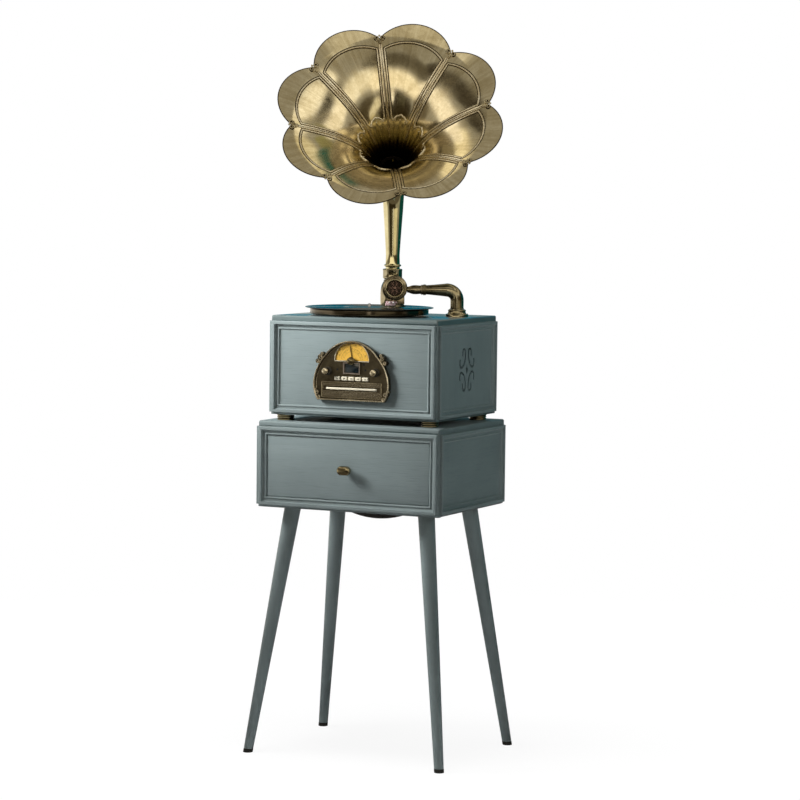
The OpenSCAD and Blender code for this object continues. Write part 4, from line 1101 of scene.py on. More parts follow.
@dataclass
class Drawer(Assembly):
    """The drawer's front and its knob."""

    front: tuple[float, float, float] = (415.0, 16.0, 140.6)
    front_z: float = 602.7
    face_y: float = -178.0
    knob_proud: float = 26.0
    knob_radius: float = 11.0
    knob_half: float = 6.0
    knob_deep: float = 8.6
    knob_squash: float = 0.86

    def build(self) -> None:
        """Makes the front board and the knob."""
        w, t, h = self.front
        board = Blank("drawer_panel").block((-w / 2, self.face_y, self.front_z),
                                            (w / 2, self.face_y + t, self.front_z + h), 1.2, 3)
        self.fit(board, SAGE_X, "drawer_front")
        self.knob()

    def knob(self) -> None:
        """An oval brass knob with a flattened face on a turned stem and rose."""
        place = at(0, self.face_y, self.front_z + self.front[2] / 2, 90, "X")
        piece = Blank("oval_knob")
        piece.lathe([(0, -1), (9, -1), (9, 1.2), (8.4, 2.4), (7.6, 3), (6.9, 4), (6.2, 8),
                     (5.7, 13), (5.5, 19), (0, 19)], 40, place)
        before = set(piece.bm.verts)
        bmesh.ops.create_uvsphere(piece.bm, u_segments=48, v_segments=24,
                                  radius=self.knob_radius)
        for vert in piece.newest(before):
            co = vert.co
            stretch = self.knob_half * (1 if co.x > 0 else -1) * min(abs(co.x) / 2.0, 1.0)
            face = 1.0 - 0.36 * ease(co.z, 2.0, 11.0)
            height = co.z * self.knob_squash * face + 1.4 * ease(co.z, 0, 8)
            vert.co = Vector((co.x + stretch, co.y, self.knob_proud - self.knob_deep + height))
        bmesh.ops.transform(piece.bm, matrix=place, verts=piece.newest(before))
        self.fit(piece, BRIGHT_BRASS, "drawer_knob", smooth=50.0)


@dataclass
class Undercarriage(Assembly):
    """Four splayed legs on metal plates, with rubber tips."""

    foot: Point = (247.0, 190.0)
    top: Point = (172.0, 116.0)
    under_z: float = 577.0
    tip_h: float = 9.0
    foot_r: float = 11.0
    top_r: float = 19.5
    plate_r: float = 29.0
    plate_t: float = 3.0
    screw_ring: float = 24.4

    def build(self) -> None:
        """Turns each leg upright and leans it onto its line from plate to floor."""
        legs, tips, plates = Blank("turned_legs"), Blank("rubber_tips"), Blank("leg_sockets")
        slope = (self.top_r - self.foot_r) / self.under_z
        top, h, t = self.under_z - self.plate_t, self.tip_h, self.plate_t
        leg = ([(0, h)] + [(self.foot_r + slope * z, z) for z in evenly(h, top, 12)] + [(0, top)])
        r = self.foot_r + 0.4
        tip = [(0, 0), (r - 1.2, 0), (r - 0.3, 0.4), (r, 1.3), (r, h - 0.8), (r - 0.4, h), (0, h)]
        r = self.plate_r
        plate = [(0, 0), (r - 1, 0), (r - 0.3, 0.3), (r, 1), (r, t), (0, t)]
        for sx, sy in CORNERS:
            lean = Matrix.Identity(4)
            lean[0][2] = sx * (self.top[0] - self.foot[0]) / self.under_z
            lean[1][2] = sy * (self.top[1] - self.foot[1]) / self.under_z
            place = Matrix.Translation((sx * self.foot[0], sy * self.foot[1], 0)) @ lean
            legs.lathe(leg, 56, place)
            tips.lathe(tip, 48, place)
            spot = at(sx * self.top[0], sy * self.top[1], top)
            plates.lathe(plate, 56, spot)
            for k in range(3):
                angle = TURN * k / 3 + 0.5
                plates.screw(spot @ at(self.screw_ring * math.cos(angle),
                                       self.screw_ring * math.sin(angle), 0)
                             @ Matrix.Rotation(math.pi, 4, "X"), 2.9)
        self.fit(legs, SAGE_Z, "legs")
        self.fit(tips, RUBBER, "leg_tips")
        self.fit(plates, PLAIN_STEEL, "leg_plates")


@dataclass
class Deck(Assembly):
    """The platter, its record and the spindle."""

    centre: Point = (-32.8, -8.0)
    platter_z: float = 1024.0
    record_z: float = 1038.3
    groove_from: float = 62.0
    groove_to: float = 145.5
    grooves: int = 110
    band_every: int = 22
    groove_deep: float = 0.16
    band_deep: float = 0.02
    land_z: float = 1.90
    spindle_low: float = 986.0
    spindle_high: float = 1048.3

    def build(self) -> None:
        """Turns the platter, the grooved record with its label, and the spindle."""
        x, y = self.centre
        platter = Blank("turned_platter").lathe(
            [(3.65, 1), (13, 1), (13, 8.6), (75, 8.6), (75, 1.5), (80, 1.5), (80, 8.6),
             (131.5, 8.6), (132.5, 0), (137.1, 0), (138.2, 0.4), (138.5, 1), (138.5, 4.4),
             (138.0, 4.8), (138.0, 5.4), (138.5, 5.8), (138.5, 10.2)]
            + arc((136.3, 10.4), 2.2, 0, 90, 6) + [(134.8, 12.6), (134, 13.4), (134, 14.3),
                                                   (3.65, 14.3)],
            128, at(x, y, self.platter_z), closed=True)
        self.fit(platter, PLATTER_METAL, "platter")
        self.record(x, y)
        spindle = Blank("turned_spindle").lathe(
            [(0, self.spindle_low), (3.6, self.spindle_low), (3.6, 1040.3), (3.4, 1040.7),
             (3.4, 1046)] + arc((1.1, 1046), 2.3, 0, 90, 6) + [(0, self.spindle_high)],
            32, at(x, y, 0))
        self.fit(spindle, PLAIN_STEEL, "spindle")

    def record(self, x: float, y: float) -> None:
        """Presses the record: rounded edge, lead-in, fine grooves, run-out and label.

        Args:
            x: the spindle's left-right place.
            y: its front-rear place.
        """
        step = (self.groove_to - self.groove_from) / self.grooves
        cuts = []
        for i in range(self.grooves):
            r = self.groove_to - i * step
            deep = self.groove_deep if i % self.band_every else self.band_deep
            cuts += [(r, self.land_z), (r - step * 0.5, self.land_z - deep)]
        profile = ([(3.7, 0), (149, 0)] + arc((149.1, 1.0), 0.9, -80, 80, 6)
                   + [(147.6, 2.0), (146.5, 1.95)] + cuts
                   + [(61, 1.75), (56, 1.7), (53, 1.75), (52, 1.9), (50.5, 2.0), (3.7, 2.0)])
        place = at(x, y, self.record_z)
        disc = Blank("pressed_record").lathe(profile, 160, place, closed=True)
        self.fit(disc, VINYL, "record", smooth=60.0)
        label = Blank("record_label").lathe(
            [(3.8, 1.98), (3.8, 2.08), (34.6, 2.08), (35, 2.16), (36, 2.16), (36.4, 2.08),
             (49.6, 2.08), (49.9, 1.98)], 96, place, closed=True)
        self.fit(label, LABEL, "record", trim=True)


@dataclass
class Tonearm(Assembly):
    """The flanged base, the bent conical arm, and the sound head with its cartridge."""

    pivot: Point = (159.0, 64.0)
    deck_z: float = 1021.0
    arm_turn: float = 206.0
    foot_z: float = 1038.1
    arm_z: float = 1082.0
    root_r: float = 15.5
    tip_r: float = 10.4
    bend_r: float = 24.0
    joint_x: float = 76.0
    head_x: float = 145.3
    head_y: float = -8.0
    head_z: float = 1085.0

    def build(self) -> None:
        """Makes the base, the arm and the head."""
        self.base()
        self.arm()
        self.head()
        self.cartridge()

    def on_arm(self) -> Matrix:
        """The arm's own frame: X towards the head."""
        return at(*self.pivot, 0, self.arm_turn)

    def base(self) -> None:
        """A ringed flange with three screws round the arm's socket."""
        profile = ([(6, 0), (26.5, 0), (26.5, 3.2), (26.1, 3.9)] + arc((24.5, 4), 2, 0, 90, 6)
                   + [(22.6, 6.1), (22, 6.6), (20.9, 9), (20.5, 10), (20.5, 10.8)]
                   + arc((19.5, 13.5), 1.6, -60, 80, 8) + [(19.3, 15.4), (19.1, 16.6), (12, 16.6),
                                                           (12, 8), (6, 8)])
        piece = Blank("arm_flange").lathe(profile, 72, at(*self.pivot, self.deck_z), closed=True)
        for k in range(3):
            angle = TURN * k / 3 + 0.35
            piece.screw(at(self.pivot[0] + 24.2 * math.cos(angle),
                           self.pivot[1] + 24.2 * math.sin(angle), self.deck_z + 5.6), 1.6)
        self.fit(piece, BRIGHT_BRASS, "tonearm_base")

    def arm(self) -> None:
        """An upright foot that bends over into a tapering tube with a ringed end."""
        run, bend_z = 14, self.arm_z - self.bend_r
        spine = [(0, self.foot_z), (0, 1048)]
        spine += arc((self.bend_r, bend_z), self.bend_r, 180, 90, 18)
        radii = [self.root_r] * len(spine)
        spine += [(x, self.arm_z) for x in evenly(self.bend_r, self.joint_x, run)[1:]]
        radii += [self.root_r + (self.tip_r - self.root_r) * share ** 0.85
                  for share in evenly(0, 1, run)[1:]]
        piece = Blank("bent_arm").tube([Vector((x, 0, z)) for x, z in spine], radii, 48,
                                       up=Vector((0, 1, 0)))
        piece.lathe([(6, 1029.2), (5.7, 1029), (0, 1029)], 40)
        piece.lathe([(0, 1028.6), (5.6, 1028.6), (5.8, 1029), (5.8, 1038.4), (15.9, 1038.4),
                     (16.3, 1038.8), (16.3, 1040), (15.4, 1040.8), (0, 1040.8)], 48)
        rings = ([(0, 72.2), (10.9, 72.2)] + arc((11, 73.6), 1.5, -80, 80, 6)
                 + arc((11.4, 77), 1.7, -80, 80, 6) + arc((10.7, 79.6), 0.9, -60, 90, 4)
                 + [(0, 80.3)])
        piece.lathe(rings, 48, at(0, 0, self.arm_z, 90, "Y"))
        bmesh.ops.transform(piece.bm, matrix=self.on_arm(), verts=piece.bm.verts[:])
        self.fit(piece, BRIGHT_BRASS, "tonearm")

    def head(self) -> None:
        """A flared neck and a ringed round box with a six-spoke rosette in its face."""
        place = self.on_arm()
        neck = ([(0, 0)] + arc((10.6, 1.6), 1.5, -80, 70, 6) + [(10.3, 4.2), (9.9, 5.4),
                (10.2, 10), (10.7, 16), (10.4, 22), (9.3, 27), (7.6, 31), (6.8, 36), (0, 36)])
        piece = Blank("sound_box").lathe(neck, 48, place @ at(80.4, 0, self.arm_z, 90, "Y"))
        face = place @ at(self.head_x, self.head_y, self.head_z, -90, "X")
        shell = ([(0, 0), (23.5, 0), (26.5, 1.5)] + arc((27, 4), 2.5, -90, 90, 8) + [(25.4, 7)]
                 + arc((26.5, 10), 3, -80, 60, 9) + [(25.2, 13.2), (23.3, 13.6), (23, 14.5),
                                                     (22.9, 15)]
                 + arc((20.2, 15), 2.4, 0, 180, 10) + [(17.8, 11), (0, 11)])
        piece.lathe(shell, 96, face)
        piece.block((self.head_x - 23, -8, 1047.3), (self.head_x - 6, 3, 1064), 1.2, 3, place)
        piece.block((self.head_x - 8, -7, 1053.5), (self.head_x + 17, 3, 1060), 1.0, 2, place)
        self.fit(piece, HEAD_BRONZE, "sound_head")
        ring = Blank("head_ring").lathe(
            [(17.7, 15.2)] + arc((20.2, 15.3), 2.45, 150, 20, 10) + [(22.3, 15.2)], 96, face,
            closed=True)
        self.fit(ring, BRIGHT_BRASS, "sound_head", trim=True)
        self.rosette(face)

    def rosette(self, face: Matrix) -> None:
        """Six petals of wire round a domed boss, over a dark ground.

        Args:
            face: the sound head's own frame, its axis along Z.
        """
        ground = Blank("head_ground").lathe([(0, 10.9), (18.2, 10.9), (18.2, 11.2), (0, 11.2)],
                                            64, face, closed=True)
        self.fit(ground, DARK_GROUND, "sound_head", trim=True)
        piece = Blank("head_rosette").lathe(
            [(0, 11), (4.6, 11), (4.6, 13), (4.1, 14), (2.6, 14.8), (0, 15.1)], 32, face)
        petals, up = 6, upward(face)
        for k in range(petals):
            spoke = face @ Matrix.Rotation(TURN * k / petals, 4, "Z")
            piece.tube([spoke @ Vector((3.5 + 14 * a, 0, 12.6 + 1.1 * math.sin(math.pi * a)))
                        for a in evenly(0, 1, 8)], evenly(1.5, 1.0, 8), 8, up=up)
            loop = face @ Matrix.Rotation(TURN * (k + 0.5) / petals, 4, "Z")
            piece.tube([loop @ Vector((11.2 + 4.9 * x, 3.9 * y, 12.9)) for x, y in circle(20)],
                       0.95, 8, closed=True, up=up)
        self.fit(piece, ROSETTE_RED, "sound_head", trim=True)

    def cartridge(self) -> None:
        """A two-part moulded cartridge with its stylus and two contact pins."""
        place = self.on_arm()
        x = self.head_x - 2
        piece = Blank("pickup_cartridge")
        piece.block((x, -6, 1044.2), (x + 23, 6, 1050.4), 0.8, 3, place)
        piece.block((x + 0.4, -5.6, 1050.2), (x + 22.6, 5.6, 1053.7), 0.5, 2, place)
        piece.block((x - 4, -3, 1049.7), (x + 1, 3, 1053.7), 0.5, 2, place)
        self.fit(piece, PINK, "cartridge")
        parts = Blank("pickup_pins")
        parts.lathe([(0, 1040.5), (0.25, 1040.7), (1.5, 1045.5), (0, 1045.5)], 16,
                    place @ at(x + 17, 0, 0))
        for spot in (4.5, 13.5):
            parts.lathe([(0, 0), (1.7, 0), (1.7, 3.4), (1.1, 4.2), (0, 4.4)], 20,
                        place @ at(x + spot, 5, 1050.8, -55, "X"))
        self.fit(parts, WHITE_PINS, "cartridge", trim=True)


@dataclass
class Horn(Assembly):
    """The horn: bracket, bell-shaped foot, collar, flared tube, elbow and eight-petal bell."""

    stand: Point = (-62.0, 172.0)
    deck_z: float = 1021.0
    foot_z: float = 1027.0
    collar_z: float = 1100.3
    tube_z: float = 1125.0
    shelf: Point = (144.0, 184.0)
    shelf_half: float = 30.0
    strap_y: Point = (166.1, 172.1)
    strap_z: Point = (931.0, 1024.0)
    strap_half: float = 28.0
    azimuth: float = -66.6
    bend_z: float = 1264.0
    bend_r: float = 127.0
    bend_angle: float = 53.6
    elbow_r: Point = (23.5, 30.5)
    notch_r: float = 227.4
    crown_r: float = 266.3
    flare_h: float = 203.0
    lip_slope: float = 0.3
    cup: float = 2.5
    sheet: float = 1.2
    petals: int = 8
    turn: float = 188.3
    throat_r: float = 30.6
    bead_gap: float = 8.7
    bead_r: float = 2.1
    outline_in: float = 27.0
    corner_r: float = 199.0
    arch_share: float = 0.54
    bracket_r: float = 79.0
    flute_deep: float = 1.7
    clip_r: float = 224.4

    def build(self) -> None:
        """Makes the horn from its foot up to the clips on its rim."""
        self.bracket()
        self.stem()
        self.elbow()
        self.bell()
        self.beads()
        self.ribs()
        self.throat_brackets()
        self.rim()
        self.clips()

    @property
    def half(self) -> float:
        """Half of a petal's share of the circle, in radians."""
        return math.pi / self.petals

    def bracket(self) -> None:
        """A cast shelf behind the cabinet with a leg, a gusset and four screws."""
        x, y = self.stand
        (near, far), (low, high), strap = self.strap_y, self.strap_z, self.strap_half
        piece = Blank("cast_bracket")
        piece.lathe([(0, 0), (34.2, 0), (35, 0.8), (35, 4.6)] + arc((33.6, 4.6), 1.4, 0, 90, 5)
                    + [(0, 6)], 72, at(x, y, self.deck_z))
        piece.block((x - self.shelf_half, self.shelf[0], self.deck_z),
                    (x + self.shelf_half, self.shelf[1], self.foot_z), 1.2, 3)
        piece.block((x - strap, near, low), (x + strap, far, high), 1.2, 3)
        piece.lathe([(0, 0), (strap, 0), (strap, 4.8), (strap - 1.2, 6), (0, 6)], 64,
                    at(x, near, low, -90, "X"))
        piece.slab([(0, 0), (80, 0), (80, 3), (0, 34)], 0, 8,
                   at(x - 4, 171, self.deck_z + 1, 90, "Y"))
        for px, pz in ((-18, -20), (18, -20), (-18, -78), (18, -78)):
            piece.screw(at(x + px, far, self.deck_z + pz, -90, "X"), 4.0)
        self.fit(piece, DARK_BRASS, "horn_bracket")

    def stem(self) -> None:
        """The bell-shaped foot, the collar that turns on it, and the flared tube."""
        foot = ([(0, 0), (27, 0)] + arc((27, 2.2), 2.2, -90, 70, 8) + [(26.6, 5), (26.4, 6),
                (27.4, 9), (28.3, 14), (28.8, 22), (28.9, 30), (28.7, 40), (28, 49), (26.4, 56.5),
                (23.6, 63), (21.2, 67)] + arc((20, 69.3), 1.6, -50, 60, 5)
                + [(19.5, 71.6), (19.5, 72.9), (14, 72.9), (14, 92.9), (0, 92.9)])
        piece = Blank("bell_foot").lathe(foot, 96, at(*self.stand, self.foot_z))
        self.fit(piece, BRIGHT_BRASS, "horn_pedestal")
        collar = ([(14.05, 0), (20, 0)] + arc((20.4, 3), 2.6, -80, 0, 6) + [(23.2, 4.2), (23, 5.2),
                  (23, 18.6), (23.3, 19.6)] + arc((21, 21.7), 2.5, -20, 80, 7)
                  + [(20.4, 24.2), (18, 24.7), (14.05, 24.7)])
        piece = Blank("turning_collar").lathe(collar, 96, at(*self.stand, self.collar_z),
                                              closed=True)
        self.fit(piece, BRIGHT_BRASS, "horn_collar")
        tube = ([(14.5, 0), (17, 0), (17, 3.4), (17.4, 4.4)] + arc((18.5, 7.5), 2.2, -60, 60, 8)
                + [(17.6, 10.2), (17.2, 12)]
                + [(16.5 + 7.0 * (z / 108) ** 1.12, 31 + z) for z in range(0, 109, 6)]
                + [(22, 139), (15, 31)])
        piece = Blank("flared_tube").lathe(tube, 96, at(*self.stand, self.tube_z), closed=True)
        self.fit(piece, TUBE_BRASS, "horn_tube")

    def at_throat(self) -> Matrix:
        """The bell's own frame: its axis along Z, its throat at the origin."""
        reach, rise = self.bend(1)[-1]
        return (at(*self.stand, self.bend_z, self.azimuth)
                @ at(reach, 0, rise, self.bend_angle, "Y"))

    def bend(self, steps: int) -> list[Point]:
        """Reach and rise of the bend's middle line, from the upright tube to the throat."""
        return arc((self.bend_r, 0), self.bend_r, 180, 180 - self.bend_angle, steps)

    def elbow(self) -> None:
        """The widening bend with its ringed ferrule, and a dark sleeve of painted shade inside the
        bell's throat.
        """
        base = at(*self.stand, self.bend_z, self.azimuth)
        steps = 28
        path = [base @ Vector((x, 0, z)) for x, z in self.bend(steps)]
        piece = Blank("widening_elbow")
        piece.tube(path, evenly(*self.elbow_r, steps), 72, up=base.to_3x3() @ Vector((0, 1, 0)),
                   capped=False)
        bmesh.ops.recalc_face_normals(piece.bm, faces=piece.bm.faces[:])
        bmesh.ops.solidify(piece.bm, geom=piece.bm.faces[:], thickness=1.5)
        self.fit(piece, TUBE_BRASS, "horn_elbow", recalculate=False)
        ferrule = ([(30.7, -9.4), (32.6, -9.4)] + arc((32.4, -8), 1.5, -80, 80, 6)
                   + arc((32.2, -4.9), 1.3, -80, 80, 6) + arc((32.4, -1.9), 1.5, -80, 80, 6)
                   + [(30.7, -0.4)])
        # The sleeve is painted shade: a dark ring that hides the lit end of the bore in the throat.
        sleeve = [(28.6, -26), (29.2, -0.8), (30.9, 1.8), (30.4, 2.2), (28.6, -0.4), (27.9, -26)]
        for name, profile, finish in (("bell_ferrule", ferrule, BRIGHT_BRASS),
                                      ("throat_lining", sleeve, DARK_GROUND)):
            ring = Blank(name).lathe(profile, 72, self.at_throat(), closed=True)
            self.fit(ring, finish, "horn_elbow", trim=True)

    def flare(self, r: float) -> float:
        """A trumpet curve with a nearly flat lip.

        Args:
            r: the radius.

        Returns:
            The bell's height at that radius.
        """
        if r >= self.notch_r:
            return self.flare_h + self.lip_slope * (r - self.notch_r)
        throat = self.elbow_r[1]
        return self.flare_h * math.log(max(r, throat) / throat) / math.log(self.notch_r / throat)

    def rim_r(self, turn: float) -> float:
        """The rim's round lobe over one petal.

        Args:
            turn: the angle in radians from the petal's middle.

        Returns:
            The rim's radius at that angle.
        """
        centre = ((self.notch_r ** 2 - self.crown_r ** 2)
                  / (2 * (self.notch_r * math.cos(self.half) - self.crown_r)))
        lobe = self.crown_r - centre
        return centre * math.cos(turn) + math.sqrt(lobe ** 2 - (centre * math.sin(turn)) ** 2)

    def normal(self, turn: float, r: float) -> Vector:
        """The way out of the sheet on its inner side.

        Args:
            turn: the angle in radians from the petal's middle.
            r: the radius.

        Returns:
            The bell's inward normal.
        """
        high = r + 0.5
        low = r - 0.5 if r > self.elbow_r[1] + 1 else r
        slope = (self.flare(high) - self.flare(low)) / (high - low)
        return Vector((-slope * math.cos(turn), -slope * math.sin(turn), 1)).normalized()

    def surface(self, turn: float, r: float, proud: float = 0.0) -> Vector:
        """A point on a petal in the petal's own frame.

        Args:
            turn: the angle in radians from the petal's middle.
            r: the radius.
            proud: how far the point stands inwards of the sheet.

        Returns:
            The point.
        """
        u = turn / self.half
        v = max((r - self.elbow_r[1]) / (self.rim_r(turn) - self.elbow_r[1]), 0)
        dish = (self.cup * (1 - u * u) * math.sin(math.pi / 2 * min(v * 1.6, 1))
                * min(v * 3, 1))
        flutes = (math.exp(-((abs(u) - 1) / 0.10) ** 2) + 0.9 * math.exp(-(u / 0.08) ** 2)
                  + 0.5 * math.exp(-((abs(u) - 0.5) / 0.08) ** 2))
        flutes *= (self.flute_deep * ease(r, 30, 40)
                   * (1 - ease(r, self.bracket_r - 22, self.bracket_r - 2)))
        point = Vector((r * math.cos(turn), r * math.sin(turn), self.flare(r) - dish))
        return point + self.normal(turn, r) * (proud - flutes)

    def petal_turn(self, petal: float) -> float:
        """Where a petal's middle lies round the bell, in radians, or a seam half a petal off."""
        return math.radians(self.turn) + TURN * (petal + 0.5) / self.petals

    def place_of(self, petal: float) -> Matrix:
        """The frame of one petal: the bell's own, turned to the petal's middle."""
        return self.at_throat() @ Matrix.Rotation(self.petal_turn(petal), 4, "Z")

    def bell(self) -> None:
        """Presses the eight petals from one sheet, brushed from throat to rim."""
        piece = Blank("petal_bell")
        bm, columns, rows, crowding = piece.bm, self.petals * 40, 84, 1.35
        layer = bm.loops.layers.uv.new("UVMap")
        bmesh.ops.create_grid(bm, x_segments=columns, y_segments=rows, size=1.0, calc_uvs=True)
        for face in bm.faces:
            for loop in face.loops:
                loop[layer].uv = ((loop.vert.co.x + 1) / 2, (loop.vert.co.y + 1) / 2)
        for vert in bm.verts:
            round_share = (vert.co.x + 1) / 2 * self.petals
            petal = min(int(round_share + 1e-4), self.petals - 1)
            turn = (2 * (round_share - petal) - 1) * self.half
            v = ((vert.co.y + 1) / 2) ** crowding
            r = self.throat_r + (self.rim_r(turn) - self.throat_r) * v
            vert.co = Matrix.Rotation(self.petal_turn(petal), 3, "Z") @ self.surface(turn, r)
        bmesh.ops.remove_doubles(bm, verts=bm.verts[:], dist=0.01)
        bmesh.ops.recalc_face_normals(bm, faces=bm.faces[:])
        if bm.faces[0].normal.z < 0:
            bmesh.ops.reverse_faces(bm, faces=bm.faces[:])
        bmesh.ops.solidify(bm, geom=bm.faces[:], thickness=self.sheet)
        bmesh.ops.transform(bm, matrix=self.at_throat(), verts=bm.verts[:])
        self.fit(piece, HORN_BRASS, "horn_petals", recalculate=False, smooth=50.0)

    def outline(self, margin: float) -> list[Point]:
        """Angle and radius along a petal's raised outline.

        Args:
            margin: how far inside the bead's own line the path lies.

        Returns:
            Pairs of angle in radians and radius, from side to side over the crown.
        """
        gap = self.bead_gap + margin

        def crown(turn: float) -> float:
            """Radius of the outline's arch."""
            return (self.notch_r - self.outline_in
                    + (self.rim_r(turn) - self.notch_r) * self.arch_share - margin)

        corner = self.half - math.asin(gap / self.corner_r)
        side = [(self.half - math.asin(gap / r), r)
                for r in evenly(self.bracket_r - 1.0, crown(corner), 30)]
        arch = [(turn, crown(turn)) for turn in evenly(corner, -corner, 40)[1:-1]]
        return side + arch + [(-turn, r) for turn, r in reversed(side)]

    def run_on(self, petal: int, line: Sequence[Point], proud: float) -> list[Matrix]:
        """Places on the bell along a line of angles and radii, standing proud, Y inwards."""
        place = self.place_of(petal)
        return rail([place @ self.surface(turn, r, proud) for turn, r in line],
                    [place.to_3x3() @ self.normal(turn, r) for turn, r in line])

    def beads(self) -> None:
        """The raised outline of every petal, with dark strips of painted shade along both sides of
        it.
        """
        bead, dark = Blank("petal_beads"), Blank("bead_patina")
        size = self.bead_r
        ridge = ([(-size, -0.5)] + [(size * x, size * y) for x, y in arc((0, 0), 1, 170, 10, 8)]
                 + [(size, -0.5)])
        strip = [(-1.1, -0.4), (-1.1, 0.10), (-0.5, 0.16), (0.5, 0.16), (1.1, 0.10), (1.1, -0.4)]
        for k in range(self.petals):
            bead.sweep(ridge, self.run_on(k, self.outline(0.0), 0.0))
            # Dark strips on both sides of the bead: painted shade standing in for the groove beside
            # it, which isn't modelled.
            for margin in (2.7, -2.6):
                dark.sweep(strip, self.run_on(k, self.outline(margin), 0.0))
        self.fit(bead, BEAD_BRASS, "horn_petals", trim=True, smooth=60.0)
        self.fit(dark, PATINA_AND_SHADE, "horn_petals", trim=True, smooth=60.0)

    def ribs(self) -> None:
        """The double rib that covers each seam between two petals."""
        section = [(-1.0, -0.45), (-1.0, 0.15), (-0.86, 0.7), (-0.62, 1.0), (-0.36, 0.86),
                   (-0.16, 0.42), (0.0, 0.3)]
        section += [(-x, y) for x, y in reversed(section[:-1])]
        groove = [(-0.55, -0.4), (-0.55, 0.62), (0.55, 0.62), (0.55, -0.4)]
        piece, dark = Blank("seam_ribs"), Blank("seam_patina")
        line = [(self.half, r) for r in evenly(50, 214, 40)]
        widths = [2.3 + 2.6 * ease(r, 60, 200) - 1.2 * ease(r, 200, 214) for _, r in line]
        for k in range(self.petals):
            piece.sweep(section, sized(self.run_on(k, line, 0.0), widths, 2.0))
            # A dark line laid down the groove between the two ribs.
            dark.sweep(groove, self.run_on(k, line, 0.25))
        self.fit(piece, BEAD_BRASS, "horn_seams", smooth=60.0)
        self.fit(dark, PATINA_AND_SHADE, "horn_seams", trim=True)

    def throat_brackets(self) -> None:
        """The scrolled bracket across the foot of each petal's outline, with its drop."""
        piece = Blank("throat_scrolls")
        end = self.half - math.asin(self.bead_gap / self.bracket_r)
        curl_r, steps = self.bracket_r - 6.5, 48
        line = []
        for s in evenly(-1, 1, steps):
            swell = 3.2 * math.sin(math.pi * min(abs(s) * 1.6, 1)) ** 2
            crest = 5.5 * math.exp(-(s / 0.16) ** 2)
            dip = 4.5 * math.exp(-((abs(s) - 0.8) / 0.1) ** 2)
            line.append((end * s, self.bracket_r - 2.5 + swell + crest - dip))
        sizes = [1.6 + 0.8 * math.sin(math.pi * i / steps) ** 0.5 for i in range(steps + 1)]
        for k in range(self.petals):
            piece.sweep(circle(10), sized(self.run_on(k, line, 0.2), sizes))
            for side in (-1, 1):
                curl = [(side * (end * 0.62 + x / curl_r), curl_r + y)
                        for x, y in coil((0, 0), 0, 5.2, (2.6, 1.1), 16)]
                piece.sweep(circle(8), sized(self.run_on(k, curl, 0.4), [0.85] * len(curl)))
            drop = self.run_on(k, [(0, self.bracket_r - 1), (0, self.bracket_r - 5)], 0.6)
            piece.ball((0, 0, 0), 1.7, 1.6, drop[1])
        self.fit(piece, BEAD_BRASS, "horn_petals", trim=True, smooth=60.0)

    def rim(self) -> None:
        """A thin dark wire rolled into the petals' edge."""
        piece, steps = Blank("rim_wire"), 40
        path, ups = [], []
        for k in range(self.petals):
            place = self.place_of(k)
            for turn in evenly(-self.half, self.half, steps)[:-1]:
                r = self.rim_r(turn) - 0.4
                path.append(place @ self.surface(turn, r, -0.5))
                ups.append(place.to_3x3() @ self.normal(turn, r))
        piece.sweep(circle(10), sized(rail(path, ups, True), [1.25] * len(path)), closed=True)
        self.fit(piece, PATINA_AND_SHADE, "horn_petals", trim=True, smooth=60.0)

    def clips(self) -> None:
        """A scrolled clip over each notch of the rim: two curls, a bead and a bound stem."""
        piece, dark, steps = Blank("scroll_clips"), Blank("clip_hollows"), 26
        for k in range(self.petals):
            foot = self.place_of(k - 0.5) @ at(self.clip_r, 0, self.flare(self.clip_r) + 0.4,
                                               -12, "Y")
            up = upward(foot)
            for side in (-1, 1):
                centre = (3.5, side * 7.3)
                curl = coil(centre, math.radians(200 * -side), side * 1.35 * TURN, (6.3, 2.0),
                            steps)
                piece.tube([foot @ Vector((x, y, 1.5)) for x, y in curl],
                           evenly(1.5, 0.9, steps), 10, up=up, flat=1.1)
                # A dark disc of painted shade in the hollow of each curl.
                dark.lathe([(0, -1.4), (6.4, -1.4), (6.4, 0.2), (0, 0.4)], 28,
                           foot @ at(*centre, 0.6))
            piece.ball((9.5, 0, 1.2), 2.6, 0.8, foot)
            for i, (reach, width) in enumerate(((-3.5, 5.6), (-6.6, 4.8), (-9.6, 4.0))):
                band = [foot @ Vector((reach - 0.8 * math.cos(s * 1.4), width * s,
                                       0.8 - 0.9 * s * s)) for s in evenly(-1, 1, 8)]
                piece.tube(band, 1.15 - 0.12 * i, 8, up=up)
            piece.block((-10, -3.2, -2.6), (4, 3.2, 0.2), 0.8, 2, foot)
        self.fit(piece, CLIP_BRASS, "rim_clips", smooth=60.0)
        self.fit(dark, PATINA_AND_SHADE, "rim_clips", trim=True)


